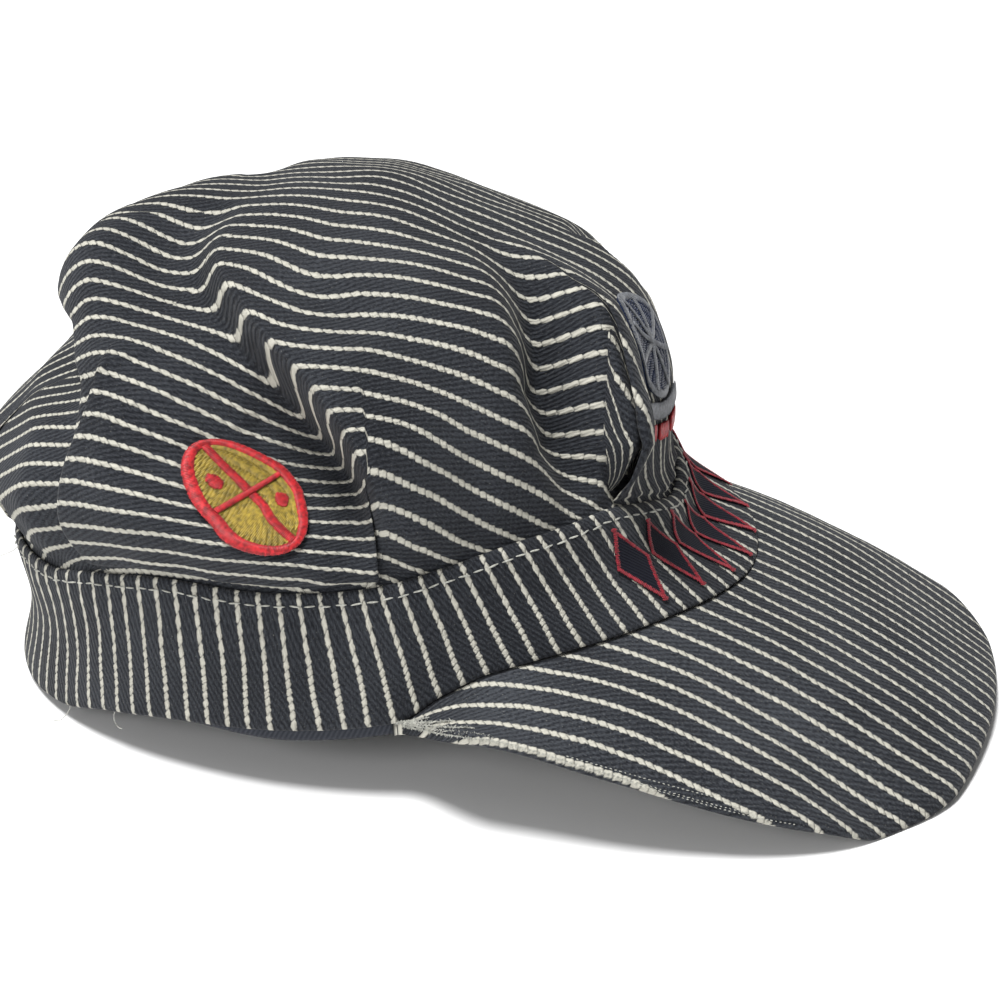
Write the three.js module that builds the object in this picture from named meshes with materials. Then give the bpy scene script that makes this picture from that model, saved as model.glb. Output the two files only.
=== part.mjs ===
import * as THREE from 'three';

// Railroad engineer cap, in millimetres. The front points along -Y, Z is up,
// and the wearer's left is +X. Angles go round the head in degrees: 0 at the
// front, 90 at the wearer's right, 180 at the back, 270 at the wearer's left.

// Head band
const bandSideReach = 81;      // middle of the head to the band's lower edge, sideways
const bandFrontReach = 106;    // the same, forwards
const bandBackReach = 99;      // the same, backwards
const bandTopSideReach = 80;   // middle of the head to the band's upper edge, sideways
const bandTopFrontReach = 85;
const bandTopBackReach = 96;
const bandHeight = 33;
const bandSag = 8;             // the upper edge hangs this much lower at the left front
const bandSagDeg = -32;
const bandSagWidth = 55;
const bandCloth = 1.4;         // two layers of twill
const bandWaist = 3;           // how far the band sags inwards at mid height
const layerGap = 0.3;          // clearance between cloth layers that lie on each other
const bandColumns = 84;

// Height of the band's two edges, as shares of its height.
const bandRows = [
  { deg: 0, lower: 0.60, upper: 1.25, waist: 1.6 },
  { deg: 15, lower: 0.65, upper: 1.37, waist: 1.5 },
  { deg: 30, lower: 0.69, upper: 1.50, waist: 1.0 },
  { deg: 45, lower: 0.67, upper: 1.50, waist: 0.4 },
  { deg: 60, lower: 0.59, upper: 1.42, waist: 0 },
  { deg: 67, lower: 0.45, upper: 1.36, waist: 0 },
  { deg: 74, lower: 0.24, upper: 1.32, waist: 0 },
  { deg: 90, lower: 0.17, upper: 1.30, waist: 0 },
  { deg: 105, lower: 0.15, upper: 1.33, waist: 0.1 },
  { deg: 120, lower: 0.06, upper: 1.24, waist: 0.3 },
  { deg: 135, lower: -0.11, upper: 1.09, waist: 0.7 },
  { deg: 150, lower: -0.16, upper: 1.05, waist: 1 },
  { deg: 180, lower: -0.16, upper: 1.03, waist: 1 },
];

// Sweatband inside the band. Its lower edge shows below the band at the sides.
const sweatCloth = 1.2;
const sweatGap = 0.5;          // the lining stands a little off the leaning band
const sweatTopShare = 0.66;    // share of the band's height it reaches up to
const sweatRows = [
  { deg: 0, drop: 0.02 },
  { deg: 60, drop: 0.03 },
  { deg: 72, drop: 0.09 },
  { deg: 88, drop: 0.09 },
  { deg: 108, drop: 0.01 },
  { deg: 180, drop: -0.03 },
];

// Crown: one piece of twill gathered into the band with four box pleats
const crownTop = 121.5;        // top of the crown above the band's reference level
const crownTopForward = 5;     // how far forward of the middle the top lies
const crownCloth = 1.6;
const crownHemShare = 0.25;    // share of the band's height that overlaps the crown's hem
const crownHeart = 50;         // height of the point the folds are pushed towards
const pleatLift = 2.2;         // thickness that the folded cloth of a box pleat adds
const crownColumns = 84;
const crownRowCount = 17;

// Profile of the crown at each angle. out: share of the band's upper reach,
// up: share of the way from the band's upper edge to the top.
const crownRows = [
  { deg: 0, out1: 0.955, up1: 0.08, out2: 0.96, up2: 0.335, out3: 0.855, up3: 0.645, out4: 0.485, up4: 0.85 },
  { deg: 30, out1: 0.975, up1: 0.11, out2: 0.965, up2: 0.365, out3: 0.85, up3: 0.665, out4: 0.485, up4: 0.862 },
  { deg: 60, out1: 1, up1: 0.16, out2: 0.975, up2: 0.42, out3: 0.815, up3: 0.69, out4: 0.495, up4: 0.89 },
  { deg: 90, out1: 1.06, up1: 0.20, out2: 1.02, up2: 0.45, out3: 0.86, up3: 0.73, out4: 0.52, up4: 0.91 },
  { deg: 120, out1: 1.07, up1: 0.22, out2: 0.98, up2: 0.48, out3: 0.84, up3: 0.73, out4: 0.53, up4: 0.915 },
  { deg: 150, out1: 1.05, up1: 0.235, out2: 0.85, up2: 0.5, out3: 0.775, up3: 0.73, out4: 0.54, up4: 0.915 },
  { deg: 180, out1: 1.03, up1: 0.235, out2: 0.82, up2: 0.5, out3: 0.765, up3: 0.73, out4: 0.54, up4: 0.915 },
];

// Box pleats. A panel of cloth stands proud between its two folded edges.
// The reach is the share of the profile over which an edge fades away.
const pleatRows = [
  { from: -23, to: 23, fromReach: 0.55, toReach: 0.62 },
  { from: 71.5, to: 120.5, fromReach: 0.36, toReach: 0.62 },
  { from: 157, to: 203, fromReach: 0.4, toReach: 0.4 },
  { from: 239.5, to: 288.5, fromReach: 0.5, toReach: 0.36 },
];

// Valleys and ridges of the slack cloth, each a chain of points on the crown.
// depth: how far the cloth is pushed in (a ridge has a negative depth);
// left and right: half width on each side of the chain, in millimetres.
const folds = {
  backPeak: [
    { deg: 134, up: 0.52, depth: -3, left: 12, right: 16 },
    { deg: 149, up: 0.56, depth: -8, left: 18, right: 22 },
    { deg: 166, up: 0.66, depth: -5, left: 20, right: 24 },
    { deg: 186, up: 0.72, depth: -2, left: 20, right: 24 },
  ],
  rightValley: [
    { deg: 148, up: 0.73, depth: 3, left: 14, right: 14 },
    { deg: 128, up: 0.64, depth: 7, left: 20, right: 13 },
    { deg: 105, up: 0.53, depth: 12, left: 30, right: 12 },
    { deg: 95, up: 0.45, depth: 17, left: 38, right: 11 },
    { deg: 88, up: 0.38, depth: 23, left: 44, right: 11 },
    { deg: 81, up: 0.29, depth: 28, left: 42, right: 10 },
    { deg: 76, up: 0.20, depth: 24, left: 36, right: 8 },
    { deg: 73.5, up: 0.10, depth: 9, left: 22, right: 7 },
    { deg: 73, up: 0.04, depth: 2, left: 12, right: 7 },
  ],
  rightDomeLip: [
    { deg: 88, up: 0.52, depth: -2, left: 14, right: 16 },
    { deg: 76, up: 0.42, depth: -5, left: 12, right: 20 },
    { deg: 69, up: 0.28, depth: -6, left: 10, right: 22 },
    { deg: 65, up: 0.12, depth: -3, left: 9, right: 18 },
  ],
  rightFrontRidge: [
    { deg: 24, up: 0.05, depth: -5, left: 12, right: 7 },
    { deg: 23.5, up: 0.13, depth: -10, left: 16, right: 8 },
    { deg: 22, up: 0.24, depth: -7.5, left: 16, right: 8 },
    { deg: 18, up: 0.36, depth: -5, left: 14, right: 9 },
    { deg: 13, up: 0.48, depth: -3, left: 12, right: 10 },
    { deg: 6, up: 0.62, depth: -1, left: 12, right: 12 },
  ],
  rightFrontPocket: [
    { deg: 30, up: 0.04, depth: 4, left: 7, right: 14 },
    { deg: 29, up: 0.15, depth: 14, left: 7.5, right: 19 },
    { deg: 27.5, up: 0.28, depth: 17, left: 7.5, right: 21 },
    { deg: 23.5, up: 0.42, depth: 13, left: 8, right: 20 },
    { deg: 17, up: 0.56, depth: 6, left: 9, right: 17 },
    { deg: 12, up: 0.68, depth: 1, left: 9, right: 16 },
  ],
  backLobeValley: [
    { deg: 127, up: 0.03, depth: 3, left: 6, right: 9 },
    { deg: 126, up: 0.20, depth: 6, left: 7, right: 13 },
    { deg: 130, up: 0.34, depth: 9, left: 8, right: 22 },
    { deg: 142, up: 0.40, depth: 11, left: 10, right: 22 },
    { deg: 158, up: 0.40, depth: 11, left: 12, right: 20 },
    { deg: 176, up: 0.42, depth: 6, left: 14, right: 18 },
  ],
  leftFrontPocket: [
    { deg: 333, up: 0.06, depth: 3, left: 14, right: 5 },
    { deg: 332, up: 0.22, depth: 8, left: 20, right: 6 },
    { deg: 335, up: 0.42, depth: 5, left: 20, right: 8 },
  ],
  leftValley: [
    { deg: 292, up: 0.10, depth: 4, left: 8, right: 16 },
    { deg: 274, up: 0.30, depth: 9, left: 12, right: 26 },
    { deg: 246, up: 0.50, depth: 7, left: 14, right: 28 },
    { deg: 222, up: 0.66, depth: 3, left: 14, right: 22 },
  ],
  leftBackValley: [
    { deg: 232, up: 0.05, depth: 3, left: 9, right: 6 },
    { deg: 229, up: 0.28, depth: 6, left: 14, right: 8 },
    { deg: 214, up: 0.50, depth: 3, left: 20, right: 10 },
  ],
};

// Bill: a stiff core wrapped in twill
const billThickness = 3.2;
const billRootDeg = 74.5;        // angle of the two corners where the bill leaves the band
const billRootInset = 1.1;     // how far the bill reaches in under the band
const billForward = 167.5;     // middle of the head to the bill's front edge
const billHalfWidth = 90.7;
const billCrown = 3;           // how far the bill bulges up between band and edge
const billColumns = 40;
const billRowCount = 9;

// The bill's outer edge from the wearer's right corner (-1) to the left one (1).
// out: share of the half width, fore: share of the forward reach, drop in millimetres
// below the band's reference level.
const billRows = [
  { side: -1, out: 0.858, fore: 0.186, drop: -8.8 },
  { side: -0.94, out: 0.975, fore: 0.31, drop: -12.6 },
  { side: -0.85, out: 0.985, fore: 0.475, drop: -7 },
  { side: -0.7, out: 0.938, fore: 0.664, drop: 4.1 },
  { side: -0.55, out: 0.838, fore: 0.803, drop: 13.1 },
  { side: -0.4, out: 0.696, fore: 0.889, drop: 20.1 },
  { side: -0.2, out: 0.448, fore: 0.973, drop: 19.3 },
  { side: 0, out: 0, fore: 1, drop: 17.9 },
  { side: 0.2, out: -0.448, fore: 0.973, drop: 21 },
  { side: 0.4, out: -0.696, fore: 0.889, drop: 16 },
  { side: 0.55, out: -0.838, fore: 0.803, drop: 16 },
  { side: 0.7, out: -0.938, fore: 0.664, drop: 17.5 },
  { side: 0.85, out: -0.985, fore: 0.475, drop: 15 },
  { side: 0.94, out: -0.975, fore: 0.31, drop: 6 },
  { side: 1, out: -0.858, fore: 0.186, drop: -7.6 },
];

// Sewn-on patches
const patchGap = 1.3;          // clearance under a patch that bridges the cloth's facets
const patchThickness = 1.1;
const badgeLong = 24.5;        // half the oval badge's length
const badgeWide = 11.2;
const badgeTilt = -47;         // degrees, the long way falls to the front
const badgeDeg = 92.6;
const badgeUp = 0.192;
const emblemRadius = 15;
const emblemDeg = 3;
const emblemUp = 0.32;
const railWidth = 30;
const railHeight = 5;
const railDrop = 18;           // emblem's middle to the rail's middle
const tieWidth = 7;
const tieHeight = 5;
const tieDrop = 24;
const lozengeWidth = 12;
const lozengeHeight = 23;
const lozengeShare = 0.48;     // share of the band's height where the lozenges sit
const lozengeStep = 9.6;      // degrees from one lozenge to the next
const lozengeCount = 7;

// How the cap settles when it is put down: on the bill's low side and the back of the band
const restPitch = 3.9;
const restRoll = -0.3;
const restPress = 0.5;         // depth by which the cloth flattens on the surface

const toRadians = Math.PI / 180;

function smoothStep(x) {
  const held = Math.min(1, Math.max(0, x));
  return held * held * (3 - 2 * held);
}

function blend(a, b, share) {
  return a + (b - a) * share;
}

// Smooth curve through table values that does not overshoot them.
function slopeAt(xs, ys, i) {
  const before = (ys[i] - ys[i - 1]) / (xs[i] - xs[i - 1]);
  const after = (ys[i + 1] - ys[i]) / (xs[i + 1] - xs[i]);
  if (before * after <= 0) return 0;
  return 2 * before * after / (before + after);
}

function curveThrough(xs, ys, x) {
  let i = 1;
  while (i < xs.length - 3 && x > xs[i + 1]) i += 1;
  const width = xs[i + 1] - xs[i];
  const s = (x - xs[i]) / width;
  const startSlope = slopeAt(xs, ys, i) * width;
  const endSlope = slopeAt(xs, ys, i + 1) * width;
  const s2 = s * s;
  const s3 = s2 * s;
  return (2 * s3 - 3 * s2 + 1) * ys[i] + (s3 - 2 * s2 + s) * startSlope
    + (3 * s2 - 2 * s3) * ys[i + 1] + (s3 - s2) * endSlope;
}

// A table that is the same on both sides of the head, read at any angle.
function readAround(rows, column, deg) {
  const folded = Math.abs(((deg + 180) % 360 + 360) % 360 - 180);
  const last = rows.length - 1;
  const xs = [-rows[1].deg, ...rows.map((row) => row.deg), 360 - rows[last - 1].deg];
  const ys = [rows[1][column], ...rows.map((row) => row[column]), rows[last - 1][column]];
  return curveThrough(xs, ys, folded);
}

function readAlong(rows, key, column, at) {
  const last = rows.length - 1;
  const xs = rows.map((row) => row[key]);
  const ys = rows.map((row) => row[column]);
  xs.unshift(2 * xs[0] - xs[1]);
  ys.unshift(2 * ys[0] - ys[1]);
  xs.push(2 * xs[last + 1] - xs[last]);
  ys.push(2 * ys[last + 1] - ys[last]);
  return curveThrough(xs, ys, at);
}

// Oval round the head and the outward direction on it.
function ovalPoint(deg, side, front, back) {
  const turn = deg * toRadians;
  const length = Math.cos(turn) > 0 ? front : back;
  return new THREE.Vector3(-side * Math.sin(turn), -length * Math.cos(turn), 0);
}

function ovalOutward(deg, side, front, back) {
  const point = ovalPoint(deg, side, front, back);
  const length = point.y < 0 ? front : back;
  return new THREE.Vector3(point.x / (side * side), point.y / (length * length), 0).normalize();
}

// Point of the band: share 0 at its lower edge, 1 at its upper edge,
// depth measured inwards from the outer face.
function bandPoint(deg, share, depth) {
  const low = ovalPoint(deg, bandSideReach, bandFrontReach, bandBackReach);
  const high = ovalPoint(deg, bandTopSideReach, bandTopFrontReach, bandTopBackReach);
  const outward = ovalOutward(deg, bandSideReach, bandFrontReach, bandBackReach);
  const held = Math.min(1, Math.max(0, share));
  const waist = bandWaist * readAround(bandRows, 'waist', deg) * Math.sin(Math.PI * held) ** 2;
  const point = low.lerp(high, share);
  point.addScaledVector(outward, -depth - waist);
  const lower = readAround(bandRows, 'lower', deg) * bandHeight;
  const fromSag = Math.abs(((deg - bandSagDeg + 180) % 360 + 360) % 360 - 180);
  const sag = bandSag * (1 - smoothStep(fromSag / bandSagWidth));
  const upper = readAround(bandRows, 'upper', deg) * bandHeight - sag;
  point.z = blend(lower, upper, share);
  return point;
}

// Profile of the crown before folds: 0 at the band's upper edge, 1 at the top.
function crownProfile(deg) {
  const depth = bandCloth + layerGap;
  const start = bandPoint(deg, 1.03, depth);
  const below = bandPoint(deg, 0.8, depth);
  const top = new THREE.Vector3(0, -crownTopForward, crownTop);
  const reach = ovalPoint(deg, bandTopSideReach, bandTopFrontReach, bandTopBackReach);
  const points = [below, start];
  for (const level of ['1', '2', '3', '4']) {
    const out = readAround(crownRows, 'out' + level, deg);
    const up = readAround(crownRows, 'up' + level, deg);
    const point = new THREE.Vector3(reach.x * out, reach.y * out, blend(start.z, crownTop, up));
    points.push(point);
  }
  points.push(top);
  points.push(new THREE.Vector3(-points[5].x * 0.9, -2 * crownTopForward - points[5].y * 0.9, points[5].z));
  return points;
}

function profilePoint(points, up) {
  const marks = [-0.08];
  let length = 0;
  const lengths = [0];
  for (let i = 2; i < points.length - 1; i += 1) {
    length += points[i].distanceTo(points[i - 1]);
    lengths.push(length);
  }
  for (const value of lengths) marks.push(value / length);
  marks.push(1.3);
  let i = 1;
  while (i < marks.length - 3 && up > marks[i + 1]) i += 1;
  const width = marks[i + 1] - marks[i];
  const s = (up - marks[i]) / width;
  const startSlope = points[i + 1].clone().sub(points[i - 1]);
  startSlope.multiplyScalar(width / (marks[i + 1] - marks[i - 1]));
  const endSlope = points[i + 2].clone().sub(points[i]);
  endSlope.multiplyScalar(width / (marks[i + 2] - marks[i]));
  const s2 = s * s;
  const s3 = s2 * s;
  const point = points[i].clone().multiplyScalar(2 * s3 - 3 * s2 + 1);
  point.addScaledVector(startSlope, s3 - 2 * s2 + s);
  point.addScaledVector(points[i + 1], 3 * s2 - 2 * s3);
  point.addScaledVector(endSlope, s3 - s2);
  return point;
}

// Outward push of the pleats' folded cloth.
function pleatHeight(deg, up) {
  let height = 0;
  for (const pleat of pleatRows) {
    const middle = (pleat.from + pleat.to) / 2;
    const half = (pleat.to - pleat.from) / 2;
    const offset = ((deg - middle + 180) % 360 + 360) % 360 - 180;
    const reach = offset < 0 ? pleat.fromReach : pleat.toReach;
    const softness = 1.5 + 14 * smoothStep(up / reach);
    const fade = 1 - smoothStep((up - 0.3 * reach) / (0.7 * reach));
    height += pleatLift * smoothStep((half - Math.abs(offset)) / softness) * fade;
  }
  return height * smoothStep(up / 0.03);
}

// Push of the valleys and ridges at one place of the crown. The inner face of a
// valley is a little wider, so that the cloth keeps its thickness on steep slopes.
function foldDepth(deg, up, inset) {
  const degScale = 1.5 * Math.sqrt(Math.max(0.05, 1 - up));
  const upScale = 150;
  let depth = 0;
  for (const chain of Object.values(folds)) {
    let best = null;
    for (let i = 0; i < chain.length - 1; i += 1) {
      const start = chain[i];
      const end = chain[i + 1];
      const acrossDeg = ((deg - start.deg + 180) % 360 + 360) % 360 - 180;
      const px = acrossDeg * degScale;
      const py = (up - start.up) * upScale;
      const dx = (end.deg - start.deg) * degScale;
      const dy = (end.up - start.up) * upScale;
      const along = Math.min(1, Math.max(0, (px * dx + py * dy) / (dx * dx + dy * dy)));
      const distance = Math.hypot(px - along * dx, py - along * dy);
      const side = dx * py - dy * px;
      if (best === null || distance < best.distance) best = { start, end, along, distance, side };
    }
    const which = best.side > 0 ? 'left' : 'right';
    const depthHere = blend(best.start.depth, best.end.depth, best.along);
    const width = blend(best.start[which], best.end[which], best.along) + 0.7 * inset * Math.sign(depthHere);
    const reach = best.distance / width;
    if (reach < 1) {
      depth += depthHere * (1 - reach * reach) ** 2;
    }
  }
  return depth * smoothStep(up / 0.06);
}

// Point of the crown, inset measured inwards from the outer face.
function crownPoint(deg, up, inset) {
  const heart = new THREE.Vector3(0, 0, crownHeart);
  const point = profilePoint(crownProfile(deg), up);
  const outward = point.clone().sub(heart).normalize();
  let push = -foldDepth(deg, up, inset) - inset;
  if (inset === 0) push += pleatHeight(deg, up);
  return point.addScaledVector(outward, push);
}

// Closed skin from a grid of points, each row a closed ring; caps are fans.
function meshFromTriangles(name, points, triangles, colour, roughness) {
  const geometry = new THREE.BufferGeometry();
  const positions = new Float32Array(points.length * 3);
  points.forEach((point, i) => point.toArray(positions, i * 3));
  geometry.setAttribute('position', new THREE.BufferAttribute(positions, 3));
  geometry.setIndex(triangles);
  geometry.computeVertexNormals();
  const material = new THREE.MeshStandardMaterial({ color: colour, roughness, metalness: 0, flatShading: true });
  const mesh = new THREE.Mesh(geometry, material);
  mesh.name = name;
  return mesh;
}

// Rings of points that close into a band with a closed cross-section.
function closedRing(name, columns, sectionAt, colour, roughness) {
  const points = [];
  const triangles = [];
  const count = sectionAt(0).length;
  for (let i = 0; i < columns; i += 1) points.push(...sectionAt(i));
  for (let i = 0; i < columns; i += 1) {
    const next = (i + 1) % columns;
    for (let j = 0; j < count; j += 1) {
      const above = (j + 1) % count;
      const a = i * count + j;
      const b = next * count + j;
      const c = next * count + above;
      const d = i * count + above;
      triangles.push(a, c, b, a, d, c);
    }
  }
  return meshFromTriangles(name, points, triangles, colour, roughness);
}

const clothColour = 0x333a47;
const billColour = 0x3e444f;
const sweatColour = 0x2b3039;

const bandMesh = closedRing('band', bandColumns, (i) => {
  const deg = 360 * i / bandColumns;
  const section = [];
  for (const share of [0, 0.25, 0.5, 0.75, 1]) section.push(bandPoint(deg, share, 0));
  for (const share of [1, 0.75, 0.5, 0.25, 0]) section.push(bandPoint(deg, share, bandCloth));
  return section;
}, clothColour, 0.9);

const sweatMesh = closedRing('sweatband', bandColumns, (i) => {
  const deg = 360 * i / bandColumns;
  const outerDepth = bandCloth + sweatGap;
  const drop = -readAround(sweatRows, 'drop', deg);
  const section = [];
  for (const share of [drop, 0.25, 0.5, sweatTopShare]) section.push(bandPoint(deg, share, outerDepth));
  for (const share of [sweatTopShare, 0.5, 0.25, drop]) {
    section.push(bandPoint(deg, share, outerDepth + sweatCloth));
  }
  return section;
}, sweatColour, 0.9);

// Columns of the crown crowd together at the pleats' edges.
function crownDegrees() {
  const edges = [];
  for (const pleat of pleatRows) edges.push(pleat.from, pleat.to);
  const degrees = new Set();
  for (const edge of edges) {
    for (const step of [-1.4, 1.4]) degrees.add(((edge + step) % 360 + 360) % 360);
  }
  const spare = crownColumns - degrees.size;
  for (let i = 0; i < spare; i += 1) {
    const deg = 360 * i / spare;
    let nearest = 180;
    for (const edge of edges) {
      const away = Math.abs(((deg - edge + 180) % 360 + 360) % 360 - 180);
      nearest = Math.min(nearest, away);
    }
    if (nearest > 2.6) degrees.add(deg);
  }
  return [...degrees].sort((a, b) => a - b);
}

const crownDegs = crownDegrees();
const crownUps = [];
for (let j = 0; j < crownRowCount; j += 1) {
  const share = j / crownRowCount;
  crownUps.push(blend(share, share ** 1.25, 0.5));
}

function crownMesh() {
  const points = [];
  const triangles = [];
  const depth = bandCloth + layerGap;
  const hemSteps = [1 - crownHemShare, 1];
  const rows = hemSteps.length + crownUps.length;
  for (const face of ['outer', 'inner']) {
    const inset = face === 'outer' ? 0 : crownCloth;
    for (const deg of crownDegs) {
      for (const share of hemSteps) points.push(bandPoint(deg, share, depth + inset));
      for (const up of crownUps) points.push(crownPoint(deg, up, inset));
    }
  }
  const columns = crownDegs.length;
  const innerStart = columns * rows;
  for (let i = 0; i < columns; i += 1) {
    const next = (i + 1) % columns;
    for (let j = 0; j < rows - 1; j += 1) {
      const a = i * rows + j;
      const b = next * rows + j;
      triangles.push(a, b + 1, b, a, a + 1, b + 1);
      triangles.push(innerStart + a, innerStart + b, innerStart + b + 1);
      triangles.push(innerStart + a, innerStart + b + 1, innerStart + a + 1);
    }
    const a = i * rows;
    const b = next * rows;
    triangles.push(a, b, innerStart + b, a, innerStart + b, innerStart + a);
  }
  const outerTop = points.length;
  points.push(crownPoint(0, 1, 0));
  points.push(crownPoint(0, 1, crownCloth));
  for (let i = 0; i < columns; i += 1) {
    const next = (i + 1) % columns;
    const a = i * rows + rows - 1;
    const b = next * rows + rows - 1;
    triangles.push(a, outerTop, b);
    triangles.push(innerStart + a, innerStart + b, outerTop + 1);
  }
  return meshFromTriangles('crown', points, triangles, clothColour, 0.9);
}

// Upper face of the bill: side -1 to 1 along the band, share 0 at the band, 1 at the edge.
function billPoint(side, share) {
  const root = bandPoint(-side * billRootDeg, 0, billRootInset);
  root.z -= layerGap;
  const edge = new THREE.Vector3(
    -billHalfWidth * readAlong(billRows, 'side', 'out', side),
    -billForward * readAlong(billRows, 'side', 'fore', side),
    -readAlong(billRows, 'side', 'drop', side),
  );
  const point = root.clone().lerp(edge, share);
  const spread = Math.min(1, root.distanceTo(edge) / 60);
  point.z += billCrown * spread * Math.sin(Math.PI * share);
  return point;
}

function billMesh() {
  const points = [];
  const triangles = [];
  const sides = [];
  for (let i = 0; i <= billColumns; i += 1) {
    const even = -1 + 2 * i / billColumns;
    sides.push(blend(even, Math.sin(even * Math.PI / 2), 0.6));
  }
  const section = [];
  for (let j = 0; j < billRowCount; j += 1) section.push({ share: j / (billRowCount - 1), under: 0 });
  section[billRowCount - 1].share = 0.975;
  section.push({ share: 1, under: 0.5 });
  for (let j = billRowCount - 1; j >= 0; j -= 1) {
    section.push({ share: section[j].share, under: 1 });
  }
  const count = section.length;
  for (const side of sides) {
    for (const step of section) {
      const point = billPoint(side, step.share);
      point.z -= billThickness * step.under;
      points.push(point);
    }
  }
  for (let i = 0; i < billColumns; i += 1) {
    for (let j = 0; j < count; j += 1) {
      const above = (j + 1) % count;
      const a = i * count + j;
      const b = (i + 1) * count + j;
      const c = (i + 1) * count + above;
      const d = i * count + above;
      triangles.push(a, c, b, a, d, c);
    }
  }
  const lastStart = billColumns * count;
  for (let j = 0; j < billRowCount; j += 1) {
    const low = count - 1 - j;
    const nextLow = j === billRowCount - 1 ? null : count - 2 - j;
    if (nextLow === null) {
      triangles.push(j, low, j + 1);
      triangles.push(lastStart + j, lastStart + j + 1, lastStart + low);
    } else {
      triangles.push(j, nextLow, j + 1, j, low, nextLow);
      triangles.push(lastStart + j, lastStart + j + 1, lastStart + nextLow);
      triangles.push(lastStart + j, lastStart + nextLow, lastStart + low);
    }
  }
  return meshFromTriangles('bill', points, triangles, billColour, 0.9);
}

// Flat place of a faceted surface between its grid lines.
function facetPoint(xs, ys, x, y, pointAt) {
  let i = 0;
  while (i < xs.length - 2 && x > xs[i + 1]) i += 1;
  let j = 0;
  while (j < ys.length - 2 && y > ys[j + 1]) j += 1;
  const s = (x - xs[i]) / (xs[i + 1] - xs[i]);
  const t = (y - ys[j]) / (ys[j + 1] - ys[j]);
  const a = pointAt(xs[i], ys[j]);
  const c = pointAt(xs[i + 1], ys[j + 1]);
  if (t > s) {
    const d = pointAt(xs[i], ys[j + 1]);
    return a.multiplyScalar(1 - t).addScaledVector(d, t - s).addScaledVector(c, s);
  }
  const b = pointAt(xs[i + 1], ys[j]);
  return a.multiplyScalar(1 - s).addScaledVector(b, s - t).addScaledVector(c, t);
}

const wideCrownDegs = [];
for (const turn of [-360, 0, 360]) {
  for (const deg of crownDegs) wideCrownDegs.push(deg + turn);
}

function crownFacet(deg, up) {
  return facetPoint(wideCrownDegs, crownUps, deg, up, (d, u) => crownPoint(d, u, 0));
}

const bandDegs = [];
for (let i = -bandColumns; i <= bandColumns; i += 1) bandDegs.push(360 * i / bandColumns);

function bandFacet(deg, share) {
  return facetPoint(bandDegs, [0, 0.25, 0.5, 0.75, 1], deg, share, (d, s) => bandPoint(d, s, 0));
}

// A patch of cloth lying on a surface. The outline is a ring of places (right, above)
// in millimetres round the patch's middle; rings step inwards to the middle.
function patchMesh(name, outline, ringShares, surfaceAt, colour) {
  const step = 0.5;
  const right = surfaceAt(step, 0).sub(surfaceAt(-step, 0)).normalize();
  const above = surfaceAt(0, step).sub(surfaceAt(0, -step)).normalize();
  const outward = right.clone().cross(above).normalize();
  const points = [];
  const triangles = [];
  const count = outline.length;
  for (const lift of [patchGap + patchThickness, patchGap]) {
    for (const share of ringShares) {
      for (const place of outline) {
        points.push(surfaceAt(place[0] * share, place[1] * share).addScaledVector(outward, lift));
      }
    }
    points.push(surfaceAt(0, 0).addScaledVector(outward, lift));
  }
  const layer = ringShares.length * count + 1;
  for (let k = 0; k < count; k += 1) {
    const next = (k + 1) % count;
    for (let ring = 0; ring < ringShares.length; ring += 1) {
      const a = ring * count + k;
      const b = ring * count + next;
      if (ring === ringShares.length - 1) {
        triangles.push(a, b, layer - 1, layer + a, 2 * layer - 1, layer + b);
      } else {
        const c = a + count;
        const d = b + count;
        triangles.push(a, b, d, a, d, c);
        triangles.push(layer + a, layer + d, layer + b, layer + a, layer + c, layer + d);
      }
    }
    triangles.push(k, layer + k, layer + next, k, layer + next, next);
  }
  return meshFromTriangles(name, points, triangles, colour, 0.7);
}

function ovalOutline(long, wide, tilt, count) {
  const outline = [];
  const lean = tilt * toRadians;
  for (let k = 0; k < count; k += 1) {
    const turn = 2 * Math.PI * k / count;
    const along = long * Math.cos(turn);
    const across = wide * Math.sin(turn);
    outline.push([along * Math.cos(lean) - across * Math.sin(lean), along * Math.sin(lean) + across * Math.cos(lean)]);
  }
  return outline;
}

function boxOutline(width, height, countX) {
  const outline = [];
  for (let k = 0; k <= countX; k += 1) outline.push([blend(-width / 2, width / 2, k / countX), -height / 2]);
  for (let k = countX; k >= 0; k -= 1) outline.push([blend(-width / 2, width / 2, k / countX), height / 2]);
  return outline;
}

function lozengeOutline(width, height) {
  const outline = [];
  const corners = [[width / 2, 0], [0, height / 2], [-width / 2, 0], [0, -height / 2]];
  corners.forEach((corner, i) => {
    const next = corners[(i + 1) % 4];
    for (let k = 0; k < 2; k += 1) {
      outline.push([blend(corner[0], next[0], k / 2), blend(corner[1], next[1], k / 2)]);
    }
  });
  return outline;
}

// Places on the crown round a middle, in millimetres to the right and above.
function crownAround(middleDeg, middleUp) {
  const degSize = crownFacet(middleDeg + 4, middleUp).distanceTo(crownFacet(middleDeg - 4, middleUp)) / 8;
  const upSize = crownFacet(middleDeg, middleUp + 0.05).distanceTo(crownFacet(middleDeg, middleUp - 0.05)) / 0.1;
  return (right, above) => crownFacet(middleDeg - right / degSize, middleUp + above / upSize);
}

function bandAround(middleDeg, middleShare) {
  const degSize = bandPoint(middleDeg + 4, middleShare, 0).distanceTo(bandPoint(middleDeg - 4, middleShare, 0)) / 8;
  const shareSize = bandPoint(middleDeg, 1, 0).distanceTo(bandPoint(middleDeg, 0, 0));
  return (right, above) => bandFacet(middleDeg - right / degSize, middleShare + above / shareSize);
}

const badgeMesh = patchMesh('side_badge', ovalOutline(badgeLong, badgeWide, badgeTilt, 24), [1, 0.8, 0.6, 0.4, 0.2],
  crownAround(badgeDeg, badgeUp), 0xb32b2b);

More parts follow.
